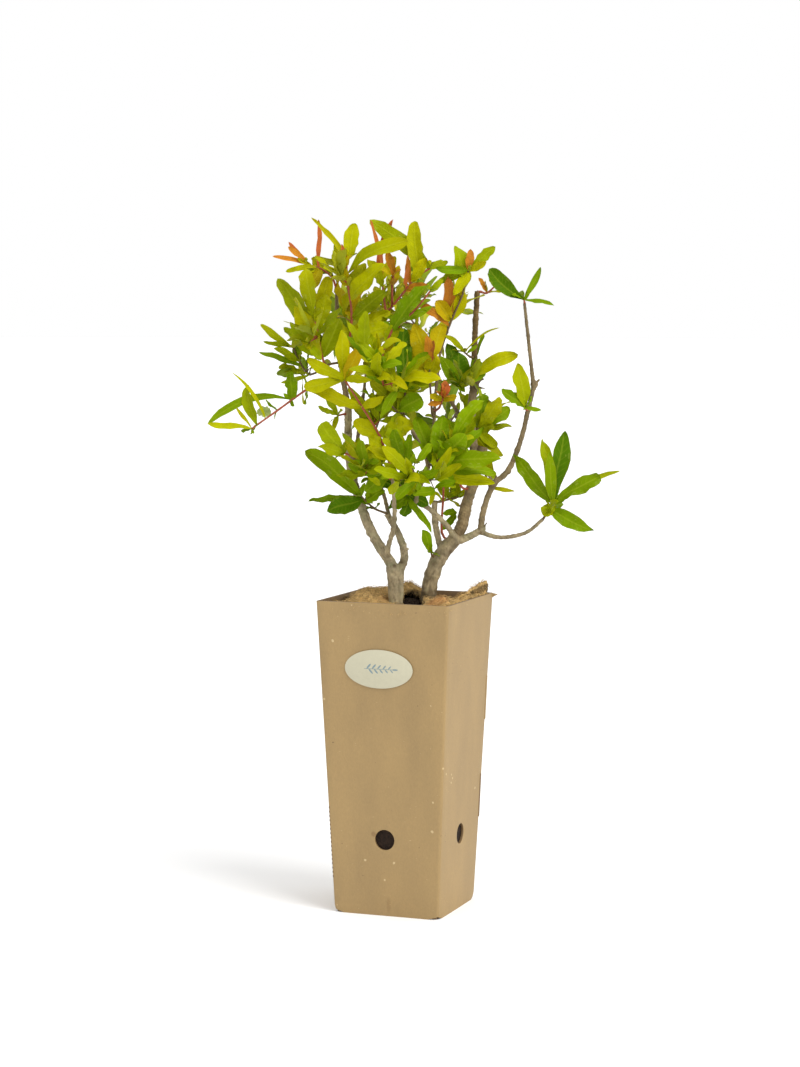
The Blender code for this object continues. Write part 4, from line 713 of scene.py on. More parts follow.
def bark(name, old, young):
    """Smooth grey bark with darker cracks and pale patches, browner where the limb is young."""
    made, tree, shader = new_material(name, 0.78, 0.3)
    place = object_place(tree)
    age = mark(tree, "age")
    base = blend(tree, age, young, old)
    patches = place_group(tree, "mottle", {"Vector": place, "Base": base, "Size": 0.0085,
                                           "Dark": 0.5, "Light": 1.42, "Stretch": 0.7})
    grain = place_group(tree, "mottle", {"Vector": place, "Base": patches["Color"], "Size": 0.0012,
                                         "Dark": 0.84, "Light": 1.14, "Stretch": 0.4})
    moss = node(tree, "ShaderNodeTexNoise", {"Vector": place, "Scale": 95.0, "Detail": 3.0}).outputs[0]
    moss = maths(tree, "MULTIPLY", spread(tree, moss, 0.5, 0.68), maths(tree, "MULTIPLY", age, 0.4))
    look = blend(tree, moss, grain["Color"], srgb(128, 130, 92))
    lenticels = place_group(tree, "flecks", {"Vector": place, "Size": 0.0024, "Share": 0.25,
                                             "Flatten": 2.2})["Mask"]
    look = overlaid(tree, lenticels, 0.35, look, srgb(196, 186, 164))
    # The crack mark also darkens the knots and the right stem's foot.
    look = overlaid(tree, mark(tree, "crack"), 0.42, look, srgb(78, 62, 40))
    finish_surface(tree, shader, look, grain["Height"], 0.0003)
    return made


def sawn_wood(name, colour):
    """An end cut: pale wood with growth rings round its middle, which the mesh marks, and a dark rim."""
    made, tree, shader = new_material(name, 0.8, 0.3)
    tone = place_group(tree, "mottle", {"Vector": object_place(tree), "Base": (*colour, 1),
                                        "Size": 0.0012, "Dark": 0.72, "Light": 1.12})
    ring = mark(tree, "ring")
    rings = maths(tree, "ABSOLUTE", maths(tree, "SINE", maths(tree, "MULTIPLY", ring, 16.0)))
    look = overlaid(tree, rings, 0.3, tone["Color"], srgb(122, 100, 70))
    look = blend(tree, spread(tree, ring, 0.82, 1.0), look, srgb(110, 92, 64))
    tree.links.new(look, shader.inputs["Base Color"])
    return made


def leaf_surface(name, colour, vein, blush):
    """A leaf's surface: pale midrib, faint side veins, a warmer tip and rim, and a paler underside."""
    made, tree, shader = new_material(name, 0.48, 0.04)
    veins = place_group(tree, "veins", {"UV": node(tree, "ShaderNodeUVMap", uv_map="leaf").outputs[0]})
    soft = place_group(tree, "mottle", {"Vector": object_place(tree), "Base": (*colour, 1),
                                        "Size": 0.007, "Dark": 0.86, "Light": 1.14})
    share = maths(tree, "ADD", 0.12, maths(tree, "MULTIPLY", veins["Along"], 0.55))
    look = overlaid(tree, mark(tree, "warm"), share, soft["Color"], blush)
    look = vectors(tree, "SCALE", {0: look, "Scale": mark(tree, "tone")})
    look = overlaid(tree, veins["Veins"], 0.05, look, vein)
    look = overlaid(tree, veins["Midrib"], 0.12, look, vein)
    look = overlaid(tree, veins["Edge"], 0.12, look, srgb(176, 140, 20))
    pale = blend(tree, 0.22, look, srgb(170, 176, 80))
    look = blend(tree, mark(tree, "under"), look, pale)
    height = maths(tree, "ADD", maths(tree, "MULTIPLY", veins["Veins"], -0.5),
                   maths(tree, "MULTIPLY", veins["Midrib"], -1.0))
    finish_surface(tree, shader, look, height, 0.00025, 0.7)
    return made


# Mesh tools
def place(point):
    """Crown point (u, w, z) in millimetres to metres in the planter's frame."""
    return CROWN_FRAME @ Vector(point) * MM


def add_object(name, data, *materials):
    obj = bpy.data.objects.new(name, data)
    bpy.context.scene.collection.objects.link(obj)
    for material in materials:
        data.materials.append(material)
    return obj


def from_bmesh(name, bm, *materials):
    mesh = bpy.data.meshes.new(name)
    bm.to_mesh(mesh)
    bm.free()
    return add_object(name, mesh, *materials)


def apply_modifiers(obj):
    """The object as the viewport evaluates it becomes its plain mesh."""
    graph = bpy.context.evaluated_depsgraph_get()
    mesh = bpy.data.meshes.new_from_object(obj.evaluated_get(graph))
    obj.modifiers.clear()
    obj.data = mesh


def remove(obj):
    bpy.data.objects.remove(obj, do_unlink=True)


def smoothed(mesh, degrees):
    """Smooth shading, with a crease where faces meet at more than so many degrees."""
    mesh.shade_smooth()
    if degrees < 180:
        mesh.set_sharp_from_angle(angle=math.radians(degrees))


def write_marks(mesh, marks):
    """Stores numbers at a mesh's points, which its material reads."""
    for name, values in marks.items():
        attribute = mesh.attributes.new(name, "FLOAT", "POINT")
        attribute.data.foreach_set("value", values.astype(np.float32))


def eased(bm, edges, width):
    """Rounds edges a little."""
    bmesh.ops.bevel(bm, geom=edges, offset=width, segments=2, profile=0.5, affect="EDGES")


def raised(bm, faces, step):
    """Gives open faces a thickness and closes them all round."""
    for item in bmesh.ops.extrude_face_region(bm, geom=faces)["geom"]:
        if isinstance(item, bmesh.types.BMVert):
            item.co += step
    bmesh.ops.recalc_face_normals(bm, faces=bm.faces)


def turned(vector, axis, angle):
    """A copy of a vector, turned about an axis."""
    vector = vector.copy()
    vector.rotate(Matrix.Rotation(angle, 3, axis))
    return vector


def finish_piece(obj, slot, *nodes):
    """Hands a piece over: it rides on the plant, and stands for its nodes."""
    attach(obj, "root")
    if nodes:
        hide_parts(*nodes)


class Pile:
    """Points and faces of many small shapes that become one mesh."""

    def __init__(self):
        self.points, self.faces, self.marks, self.maps = [], [], {}, []
        self.count = 0

    def add(self, points, faces, uv=None, **marks):
        """Adds a shape in crown millimetres. Each mark is one number, or one for each point."""
        self.points.append(points)
        self.faces += [[corner + self.count for corner in face] for face in faces]
        if uv is not None:
            self.maps.append(uv)
        for name, values in marks.items():
            self.marks.setdefault(name, []).append(np.full(len(points), values, float))
        self.count += len(points)

    def make(self, name, *materials):
        points = np.concatenate(self.points) @ np.array(CROWN_FRAME).T * MM
        mesh = bpy.data.meshes.new(name)
        mesh.from_pydata(points.tolist(), [], self.faces)
        write_marks(mesh, {name: np.concatenate(values) for name, values in self.marks.items()})
        if self.maps:
            corners = np.empty(len(mesh.loops), np.int32)
            mesh.loops.foreach_get("vertex_index", corners)
            layer = mesh.uv_layers.new(name="leaf")
            layer.data.foreach_set("uv", np.concatenate(self.maps)[corners].astype(np.float32).ravel())
        smoothed(mesh, 80 if self.maps else 180)
        return add_object(name, mesh, *materials)


def smooth_path(points, steps=2):
    """Points on a Catmull-Rom curve through the given ones."""
    points = [Vector(p) for p in points]
    ends = [2 * points[0] - points[1], *points, 2 * points[-1] - points[-2]]
    path = []
    for a, b, c, d in zip(ends, ends[1:], ends[2:], ends[3:]):
        for step in range(steps):
            t = step / steps
            path.append(0.5 * (2 * b + (c - a) * t + (2 * a - 5 * b + 4 * c - d) * t * t
                               + (3 * b - a - 3 * c + d) * t ** 3))
    return [*path, points[-1]]


def point_at(path, at):
    """Point and direction at a place on a path, counted in its points."""
    index = min(int(at), len(path) - 2)
    start, end = Vector(path[index]), Vector(path[index + 1])
    return start.lerp(end, at - index), (end - start).normalized()


def nearest_on(path, point):
    """The point of a path nearest to a given one."""
    point = Vector(point)
    best = None
    for start, end in zip(path, path[1:]):
        run = end - start
        share = max(0.0, min(1.0, (point - start).dot(run) / run.length_squared))
        found = start + run * share
        if best is None or (found - point).length < (best - point).length:
            best = found
    return best


def taper(count, root, tip):
    return [root + (tip - root) * i / (count - 1) for i in range(count)]


def sweep(path, radii, sides):
    """Points and faces of a closed round tube whose rings don't twist along its path."""
    path = [Vector(p) for p in path]
    along = (path[1] - path[0]).normalized()
    across = along.orthogonal().normalized()
    points, faces = [], []
    for index, (spot, radius) in enumerate(zip(path, radii)):
        ahead = path[min(index + 1, len(path) - 1)]
        behind = path[max(index - 1, 0)]
        heading = (ahead - behind).normalized()
        across.rotate(along.rotation_difference(heading))
        along = heading
        other = along.cross(across)
        for side in range(sides):
            angle = math.tau * side / sides
            points.append(spot + (across * math.cos(angle) + other * math.sin(angle)) * radius)
    for ring in range(len(path) - 1):
        for side in range(sides):
            low, high = ring * sides, (ring + 1) * sides
            beside = (side + 1) % sides
            faces.append((low + side, low + beside, high + beside, high + side))
    last = (len(path) - 1) * sides
    faces.append(tuple(reversed(range(sides))))
    faces.append(tuple(last + side for side in range(sides)))
    return np.array([tuple(p) for p in points]), faces


# Planter
def half_width(height):
    return (BOX_BOTTOM + (BOX_TOP - BOX_BOTTOM) * height / BOX_HEIGHT) / 2


def wall_slope():
    return math.atan2((BOX_TOP - BOX_BOTTOM) / 2, BOX_HEIGHT)


def wall_ring(height, crease):
    """One level of the sleeve: flat sides that bow a little, round corners, softened at the foot."""
    side = half_width(height)
    points = []
    for turn in range(4):
        spin = Matrix.Rotation(turn * math.pi / 2, 3, "Z")
        flat = side - crease
        for step in range(WALL_CELLS + 1):
            share = 2 * step / WALL_CELLS - 1
            bow = WALL_BOW * math.sin(height / WALL_BOW_LENGTH + turn * 2) * (1 - share * share)
            points.append(spin @ Vector((flat * share, -side - bow, height)))
        for step in range(1, CREASE_STEPS):
            angle = step * math.pi / 2 / CREASE_STEPS
            points.append(spin @ Vector((flat + crease * math.sin(angle),
                                         -flat - crease * math.cos(angle), height)))
    for point in points:
        corner = min(abs(point.x), abs(point.y)) / side
        lift = FOOT_ROUNDING * max(0, corner - FOOT_FROM) / (1 - FOOT_FROM)
        low = max(0, 1 - height / FOOT_ROUNDING) if lift else 0
        point.z += lift * 0.5 * low
        inward = 1 - FOOT_TUCK * low * corner ** 8
        point.x *= inward
        point.y *= inward
    return points


def card_sleeve(settings):
    """The folded sleeve: four tapering walls of board with vents, seen in its cut edges."""
    outside = kraft_card("kraft card", settings.card)
    inside = kraft_card("kraft card inside", settings.card_inside)
    bm = bmesh.new()
    heights = [BOX_HEIGHT * row / WALL_ROWS for row in range(WALL_ROWS + 1)]
    heights[1:1] = FOOT_ROWS
    rings = [[bm.verts.new(p * MM) for p in wall_ring(height, settings.crease / MM)]
             for height in heights]
    for low, high in zip(rings, rings[1:]):
        for i in range(len(low)):
            j = (i + 1) % len(low)
            bm.faces.new((low[i], low[j], high[j], high[i]))
    sleeve = from_bmesh("card_sleeve", bm, outside, inside)
    wall = sleeve.modifiers.new("wall", "SOLIDIFY")
    wall.thickness = settings.board
    wall.offset = -1
    wall.use_even_offset = True
    wall.material_offset = 1
    wall.material_offset_rim = 1
    apply_modifiers(sleeve)
    for turn in range(4):
        cut_vent(sleeve, settings, turn)
    edge = sleeve.modifiers.new("edge", "BEVEL")
    edge.width = EDGE_EASE * MM
    edge.segments = 2
    edge.limit_method = "ANGLE"
    edge.angle_limit = math.radians(60)
    edge.material = 0
    apply_modifiers(sleeve)
    smoothed(sleeve.data, 40)
    return sleeve


def cut_vent(sleeve, settings, turn):
    """Cuts one round vent through a wall."""
    bm = bmesh.new()
    radius = settings.vent / 2
    bmesh.ops.create_cone(bm, cap_ends=True, segments=48, radius1=radius, radius2=radius,
                          depth=20 * MM)
    spin = Matrix.Rotation(turn * math.pi / 2, 4, "Z")
    lay = Matrix.Translation(Vector((0, -half_width(VENT_HEIGHT), VENT_HEIGHT)) * MM)
    bmesh.ops.transform(bm, matrix=spin @ lay @ Matrix.Rotation(math.pi / 2, 4, "X"), verts=bm.verts)
    cutter = from_bmesh("vent cutter", bm, sleeve.data.materials[0], sleeve.data.materials[1])
    for face in cutter.data.polygons:
        face.material_index = 1
    cut = sleeve.modifiers.new("vent", "BOOLEAN")
    cut.operation = "DIFFERENCE"
    cut.object = cutter
    apply_modifiers(sleeve)
    remove(cutter)


def torn_lip(bm):
    """A torn lip of card that carries the rim on past the back right corner, and tapers."""
    lip = bmesh.ops.create_grid(bm, x_segments=6, y_segments=3, size=0.5)["verts"]
    for vert in lip:
        along, up = vert.co.x + 0.5, vert.co.y + 0.5
        drop = 0.3 + LIP_DROP * along ** 2 + LIP_HEIGHT * (1 - up) * (1 - 0.9 * along)
        vert.co = Vector((BOX_TOP / 2 - 1.5 + LIP_REACH[0] * along,
                          BOX_TOP / 2 - 2 + LIP_REACH[1] * along, BOX_HEIGHT - drop)) * MM
    faces = list(dict.fromkeys(face for vert in lip for face in vert.link_faces))
    raised(bm, faces, Vector((0, -LIP_THICK, 0)) * MM)


def lock_tabs(settings):
    """Two locking tongues in the seam at the back right corner, the lower one in the inside card's darker
    colour as painted shade, and the torn lip above them.
    """
    bm = bmesh.new()
    for height in TAB_HEIGHTS:
        made = bmesh.ops.create_cube(bm, size=1)
        side = half_width(height)
        thick, tall, deep = TAB_SIZE
        matrix = (Matrix.Translation(Vector((side - TAB_SINK, side - 1.1 * deep, height)) * MM)
                  @ Matrix.Rotation(wall_slope(), 4, "Y")
                  @ Matrix.Diagonal((thick * MM, deep * MM, tall * MM, 1)))
        bmesh.ops.transform(bm, matrix=matrix, verts=made["verts"])
    eased(bm, bm.edges[:], EDGE_EASE * MM)
    torn_lip(bm)
    # Faces in the lower half take the darker inside card, painted shade; the upper tongue and the lip take
    # the outer card.
    for face in bm.faces:
        face.material_index = int(face.calc_center_median().z > BOX_HEIGHT / 2 * MM)
    return from_bmesh("lock_tabs", bm, kraft_card("tab card", settings.card_inside),
                      bpy.data.materials["kraft card"])


def seam_lap(settings):
    """The glued lap: the back wall's outer ply ends in a low step beside the left corner."""
    bm = bmesh.new()
    made = bmesh.ops.create_cube(bm, size=2)
    for vert in made["verts"]:
        height = BOX_HEIGHT - LAP_ENDS[1] if vert.co.z > 0 else LAP_ENDS[0]
        side = half_width(height)
        edge = -side + LAP_WIDTH if vert.co.x > 0 else -side + settings.crease / MM
        out = side + LAP_STEP if vert.co.y > 0 else side - 0.6
        vert.co = Vector((edge, out, height)) * MM
    eased(bm, bm.edges[:], 0.2 * MM)
    return from_bmesh("seam_lap", bm, bpy.data.materials["kraft card"])


# Geometry Nodes tools
def geometry_tree(name, inputs):
    """An empty Geometry Nodes tree with a mesh in and out and named inputs."""
    mesh = ("Geometry", "Geometry")
    return new_tree(name, "Geometry", (mesh, *inputs), (mesh,))


def end_tree(tree, copies, given, result):
    """Copies become real mesh and take the tree's material."""
    real = node(tree, "GeometryNodeRealizeInstances", {0: copies.outputs[0]})
    finish = node(tree, "GeometryNodeSetMaterial",
                  {0: real.outputs[0], "Material": given["Material"]})
    tree.links.new(finish.outputs[0], result[0])
    return tree


def run_geometry_tree(name, mesh, tree, values):
    """Runs a tree on a mesh and keeps the result as a plain mesh object."""
    obj = add_object(name, mesh)
    modifier = obj.modifiers.new(tree.name, "NODES")
    modifier.node_group = tree
    for item in tree.interface.items_tree:
        if item.item_type == "SOCKET" and item.in_out == "INPUT" and item.name in values:
            modifier[item.identifier] = values[item.name]
    apply_modifiers(obj)
    return obj


def scatter_tree(name, strand):
    """Scatters a small shape over a mesh's faces with a random turn and size."""
    tree, given, result = geometry_tree(
        name, (("Density", "Float", 100000.0), ("Smallest", "Float", 0.6), ("Largest", "Float", 1.3),
               ("Seed", "Int", 7), ("Material", "Material")))
    spots = node(tree, "GeometryNodeDistributePointsOnFaces",
                 {"Mesh": given["Geometry"], "Density": given["Density"], "Seed": given["Seed"]})
    turn = node(tree, "FunctionNodeRandomValue", {0: (-0.5, -0.5, 0), 1: (0.5, 0.5, math.tau)},
                data_type="FLOAT_VECTOR").outputs[0]
    size = node(tree, "FunctionNodeRandomValue",
                {2: given["Smallest"], 3: given["Largest"]}).outputs[1]
    copies = node(tree, "GeometryNodeInstanceOnPoints",
                  {"Points": spots.outputs["Points"], "Instance": strand(tree), "Rotation": turn,
                   "Scale": size})
    return end_tree(tree, copies, given, result)


def curl_of_fibre(tree):
    """One loose fibre: a bent hair with three sides."""
    arc = node(tree, "GeometryNodeCurveQuadraticBezier",
               {"Resolution": 3, "Start": (-0.0035, 0, 0.0002), "Middle": (0.0004, 0.0012, 0.0042),
                "End": (0.0034, 0.0003, 0.0004)})
    ring = node(tree, "GeometryNodeCurvePrimitiveCircle", {"Resolution": 3, "Radius": 0.00011})
    hair = node(tree, "GeometryNodeCurveToMesh", {0: arc.outputs[0], 1: ring.outputs[0],
                                                  "Fill Caps": True})
    return hair.outputs[0]


def crumb_of_soil(tree):
    lump = node(tree, "GeometryNodeMeshIcoSphere", {"Radius": 0.0011, "Subdivisions": 2})
    return lump.outputs[0]


def nick_tree():
    """A row of small slits along a line."""
    tree, given, result = geometry_tree(
        "slit row", (("Count", "Int", NICK_COUNT), ("Start", "Vector"), ("Step", "Vector"),
                     ("Size", "Vector"), ("Material", "Material")))
    line = node(tree, "GeometryNodeMeshLine", {"Count": given["Count"],
                                               "Start Location": given["Start"],
                                               "Offset": given["Step"]})
    slit = node(tree, "GeometryNodeMeshCube", {"Size": given["Size"]})
    copies = node(tree, "GeometryNodeInstanceOnPoints", {"Points": line.outputs[0],
                                                         "Instance": slit.outputs[0]})
    return end_tree(tree, copies, given, result)


def corner_nicks():
    """Perforation along the lower front left crease."""
    low, high = NICK_SPAN
    def corner(height):
        side = half_width(height) - 0.8
        return Vector((-side, -side, height)) * MM
    step = (corner(high) - corner(low)) / (NICK_COUNT - 1)
    return run_geometry_tree("corner_nicks", bpy.data.meshes.new("nick seed"), nick_tree(),
                             {"Count": NICK_COUNT, "Start": corner(low), "Step": step,
                              "Size": Vector(NICK_SIZE) * MM,
                              "Material": mottled("slit shade", srgb(78, 56, 34), "earth")})


# Label
def lay_on_front(verts, lift, size=1):
    """Turns points drawn flat in millimetres onto the front wall at the label's place."""
    height = BOX_HEIGHT - LABEL_BELOW_RIM
    out = half_width(height) + lift
    matrix = (Matrix.Translation(Vector((LABEL_ASIDE, -out, height)) * MM)
              @ Matrix.Rotation(math.pi / 2 + wall_slope(), 4, "X") @ Matrix.Scale(MM * size, 4))
    for vert in verts:
        vert.co = matrix @ vert.co


def oval_label(settings):
    """An oval paper label, stuck flat with a hair of rise at its edge."""
    bm = bmesh.new()
    bmesh.ops.create_cone(bm, cap_ends=True, segments=96, radius1=0.5, radius2=0.5, depth=1)
    bmesh.ops.scale(bm, vec=(*LABEL_SIZE, 0.4), verts=bm.verts)
    rims = [edge for edge in bm.edges if abs(edge.verts[0].co.z - edge.verts[1].co.z) < 0.01]
    eased(bm, rims, 0.12)
    lay_on_front(bm.verts, LABEL_LIFT)
    label = from_bmesh("oval_label", bm, mottled("label paper", settings.label, "paper"))
    smoothed(label.data, 30)
    return label


def label_sprig(settings):
    """A small printed sprig of plain leaves on the label."""
    bm = bmesh.new()
    def leaf(x, y, angle, length):
        made = bmesh.ops.create_circle(bm, cap_ends=True, segments=14, radius=1)
        turn = (Matrix.Translation((x, y, 0)) @ Matrix.Rotation(math.radians(angle), 4, "Z")
                @ Matrix.Translation((length / 2, 0, 0)) @ Matrix.Diagonal((length / 2, length / 7, 1, 1)))
        bmesh.ops.transform(bm, matrix=turn, verts=made["verts"])
    stem = bmesh.ops.create_grid(bm, x_segments=1, y_segments=1, size=1)
    bmesh.ops.transform(bm, matrix=Matrix.Diagonal((9.5, 0.14, 1, 1)), verts=stem["verts"])
    for number in range(SPRIG_PAIRS):
        x = -8 + number * 3.6
        leaf(x, 0.1, 48, 4.2 - number * 0.35)
        leaf(x + 1.4, -0.1, -48, 4.0 - number * 0.35)
    leaf(9.2, 0, 0, 3.6)
    raised(bm, bm.faces[:], Vector((0, 0, 0.06)))
    lay_on_front(bm.verts, SPRIG_LIFT, SPRIG_SCALE)
    return from_bmesh("label_sprig", bm, mottled("sprig ink", settings.ink, "paper"))


# Fibre mat
def mat_height(x, y):
    """Height of the fibre mat's top: gentle lumps and the mounds that the trunks push up."""
    lumps = LUMP_HEIGHTS[0] * math.sin(x / LUMP_LENGTHS[0] + 1) * math.cos(y / LUMP_LENGTHS[1])
    lumps += LUMP_HEIGHTS[1] * math.sin((x + y) / LUMP_LENGTHS[2])
    for place, height, width in MOUNDS:
        lumps += height * math.exp(-(math.dist((x, y), place) / width) ** 2)
    spot = Vector((x, y, 0))
    lumps += noise.fractal(spot / LUMP_LENGTHS[2], 1.0, 2.0, 3) * LUMP_HEIGHTS[2]
    tufts = noise.fractal(spot / TUFT_LENGTH + Vector((40, 0, 0)), 1.0, 2.0, 2)
    return MAT_TOP + lumps + (1 - abs(tufts)) * TUFT_HEIGHT - TUFT_SINK


def in_hole(x, y):
    """Whether a place lies in the torn gap between the trunks, where soil shows."""
    ragged = 1 + HOLE_RAGGED * noise.noise(Vector((x / 5, y / 5, 3)))
    spot = Matrix.Rotation(-CROWN_TURN, 2) @ Vector((x, y)) - Vector(HOLE_PLACE)
    return math.hypot(spot.x / HOLE_SIZE[0], spot.y / HOLE_SIZE[1]) < ragged


def thickened(obj, thickness):
    """Gives an open sheet its thickness, downwards from its faces."""
    thick = obj.modifiers.new("thickness", "SOLIDIFY")
    thick.thickness = thickness * MM
    thick.offset = -1
    apply_modifiers(obj)
    obj.data.shade_smooth()
    return obj


def coir_mat(material):
    """The mat of coconut fibre over the soil, torn open between the trunks."""
    side = half_width(MAT_TOP - MAT_DROP) - MAT_GAP
    bm = bmesh.new()
    bmesh.ops.create_grid(bm, x_segments=MAT_CELLS, y_segments=MAT_CELLS, size=side)
    doomed = [face for face in bm.faces if in_hole(*face.calc_center_median().xy)]
    bmesh.ops.delete(bm, geom=doomed, context="FACES")
    for vert in bm.verts:
        x, y = vert.co.x, vert.co.y
        vert.co = Vector((x, y, mat_height(x, y))) * MM
    return thickened(from_bmesh("coir_mat", bm, material), MAT_THICK)


def torn_flap(dark, pale):
    """The mat's torn corner, which stands up along the right wall and ends in a ragged peak. Its body
    wears darkened coir as painted shade; the top fringe keeps the plain coir.
    """
    bm = bmesh.new()
    columns, rows = 56, 16
    path = smooth_path(FLAP_PATH, columns // 2)
    grid = []
    for column, foot in enumerate(path):
        share = column / (len(path) - 1)
        height = FLAP_RISE[0] + (FLAP_RISE[1] - FLAP_RISE[0]) * share ** 1.3
        for length, rise in FLAP_RAGGED:
            height += noise.noise(foot / length) * rise
        line = []
        for row in range(rows + 1):
            up = row / rows
            bulge = FLAP_BULGE * math.sin(up * math.pi) + FLAP_LEAN * up * share
            spot = foot + Vector((bulge, -bulge * 0.3, height * up))
            spot += Vector((noise.noise(spot / 2.5), noise.noise(spot / 2.5 + Vector((9, 0, 0))), 0)) * 0.6
            line.append(bm.verts.new(spot * MM))
        grid.append(line)
    for left, right in zip(grid, grid[1:]):
        for row in range(rows):
            face = bm.faces.new((left[row], right[row], right[row + 1], left[row + 1]))
            # Rows below the fringe take the darkened coir, painted shade; the fringe rows take the plain
            # coir.
            face.material_index = int(row >= rows - FLAP_FRINGE)
    return thickened(from_bmesh("coir_flap", bm, dark, pale), FLAP_THICK)


def soil_heap(material):
    """Dark potting mix that bulges through the mat's gap, under its raised back edge."""
    bm = bmesh.new()
    bmesh.ops.create_grid(bm, x_segments=40, y_segments=64, size=1)
    for vert in bm.verts:
        u = HOLE_PLACE[0] + vert.co.x * (HOLE_SIZE[0] + HOLE_MARGIN)
        w = HOLE_PLACE[1] + vert.co.y * (HOLE_SIZE[1] + HOLE_MARGIN)
        far = math.hypot((u - HEAP_TOP[0]) / HEAP_WIDTH[0], (w - HEAP_TOP[1]) / HEAP_WIDTH[1])
        heap = HEAP_HEIGHT * math.exp(-far ** 3)
        heap += noise.fractal(Vector((u, w, 0)) / 3, 1.0, 2.0, 3) * 1.2
        vert.co = place((u, w, SOIL_TOP - 0.5 + heap))
    return thickened(from_bmesh("soil_heap", bm, material), 2)


def loose_fibres(name, count, sheet, material):
    """Hairs that stand out of a sheet of coir."""
    tree = bpy.data.node_groups.get("fibre scatter") or scatter_tree("fibre scatter", curl_of_fibre)
    area = sum(face.area for face in sheet.data.polygons)
    return run_geometry_tree(name, sheet.data.copy(), tree,
                             {"Density": count / area, "Smallest": 0.45, "Largest": 1.15,
                              "Seed": 11, "Material": material})


def soil_crumbs(settings, heap):
    """Crumbs of potting mix on the heap in the mat's gap."""
    tree = scatter_tree("crumb scatter", crumb_of_soil)
    return run_geometry_tree("soil_crumbs", heap.data.copy(), tree,
                             {"Density": 260000.0, "Smallest": 0.4, "Largest": 1.2, "Seed": 5,
                              "Material": mottled("crumbs", settings.soil, "earth", 0.002)})


# Limbs
def limb_run(limb, steps=4):
    """A limb's smoothed points and its radii, with a root flare on a trunk."""
    points = smooth_path(limb.path, steps)
    radii = taper(len(points), limb.root, limb.tip)
    if limb.name.startswith("trunk"):
        flares = [ROOT_FLARE * math.exp((SOIL_TOP - point.z) / FLARE_HEIGHT) for point in points]
        radii = [radius + min(flare, ROOT_FLARE) for radius, flare in zip(radii, flares)]
    return points, radii


def bark_coordinates(points, limbs):
    """For each point: its nearest limb's age and radius, how far along it lies, and the limb's axis."""
    best = np.full(len(points), 1e9)
    age, radius, along = np.zeros(len(points)), np.ones(len(points)), np.zeros(len(points))
    axis = np.zeros((len(points), 3))
    for limb in limbs:
        path, radii = limb_run(limb)
        passed = 0
        for start, end, thick, thin in zip(path, path[1:], radii, radii[1:]):
            run = np.array(end - start)
            length = np.linalg.norm(run)
            share = np.clip((points - np.array(start)) @ run / length ** 2, 0, 1)
            off = np.linalg.norm(points - np.array(start) - share[:, None] * run, axis=1)
            here = thick + (thin - thick) * share
            near = off - here < best
            best[near] = (off - here)[near]
            age[near] = limb.age
            radius[near] = here[near]
            along[near] = passed + share[near] * length
            axis[near] = run / length
            passed += length
    return age, radius, along, axis


def bark_relief(points, limbs):
    """How far the bark stands out at each point, its age, and how dark it is: deep in a crack, at a knot,
    or near the right stem's foot.
    """
    age, radius, along, axis = bark_coordinates(points, limbs)
    squeezed = points - axis * np.einsum("ij,ij->i", points, axis)[:, None] * BARK_SQUEEZE
    lift, crack = np.zeros(len(points)), np.zeros(len(points))
    for index, (spot, flat) in enumerate(zip(points, squeezed)):
        lump = noise.fractal(Vector(spot / (radius[index] * 1.1 + 1.2)), 1.0, 2.0, 2)
        fissure = noise.fractal(Vector(flat / FISSURE_WIDTH), 1.0, 2.0, 2)
        scale = noise.noise(Vector(spot / 0.9))
        depth = max(0.0, -fissure - 0.22) * age[index]
        crack[index] = min(1.0, depth * 3.2)
        lift[index] = BARK_LUMP * radius[index] * lump - FISSURE_DEPTH * depth + BARK_SCALE * scale
    wave = (along + 6 * np.sin(along / 31)) % NODE_GAP
    ring = np.exp(-((wave - 12) / NODE_WIDTH) ** 2) * NODE_RISE
    lift += ring * np.minimum(radius, 3) * (1 - 0.55 * age)
    rng = random.Random(31)
    warts = [Knot(tuple(points[rng.randrange(len(points))]), rng.uniform(0.35, 0.9),
                  rng.uniform(0.9, 1.7)) for _ in range(WARTS)]
    for knot in (*KNOTS, *warts):
        off = np.linalg.norm(points - np.array(knot.place, float), axis=1)
        swell = np.exp(-(off / knot.width) ** 2)
        lift += knot.height * swell
        crack = np.maximum(crack, knot.dark * swell)
    # The bark of the right stem darkens towards its foot.
    foot_dark = np.clip((FOOT_DARK_TOP + 3 * np.sin(points[:, 0]) - points[:, 2]) / 6, 0, 1)
    foot_dark *= points[:, 0] > FOOT_DARK_BESIDE
    return lift, age, np.maximum(crack, 1.7 * foot_dark)


def stem_skin(name, limbs, spurs, material):
    """One skin over a stem's limbs and spurs, smooth at its forks, with the bark's relief."""
    pile = Pile()
    for limb in limbs:
        pile.add(*sweep(*limb_run(limb), 14))
    for start, end, radius in spurs:
        pile.add(*sweep(smooth_path((start, end), 3), (radius * 1.3, radius, radius, radius * 0.85), 8))
    skin = pile.make(name, material)
    remesh = skin.modifiers.new("skin", "REMESH")
    remesh.mode = "VOXEL"
    remesh.voxel_size = VOXEL * MM
    soften = skin.modifiers.new("soften", "SMOOTH")
    soften.factor = 0.5
    soften.iterations = 4
    apply_modifiers(skin)
    mesh = skin.data
    count = len(mesh.vertices)
    points, normals = np.empty(count * 3), np.empty(count * 3)
    mesh.vertices.foreach_get("co", points)
    mesh.vertices.foreach_get("normal", normals)
    points, normals = points.reshape(-1, 3), normals.reshape(-1, 3)
    lift, age, crack = bark_relief(points / MM @ np.array(CROWN_FRAME), limbs)
    points += normals * lift[:, None] * MM
    points[:, 2] = np.maximum(points[:, 2], (SOIL_TOP - 1) * MM)
    mesh.vertices.foreach_set("co", points.ravel())
    write_marks(mesh, {"age": age, "crack": crack})
    mesh.materials.clear()
    mesh.materials.append(material)
    mesh.shade_smooth()
    mesh.update()
    return skin


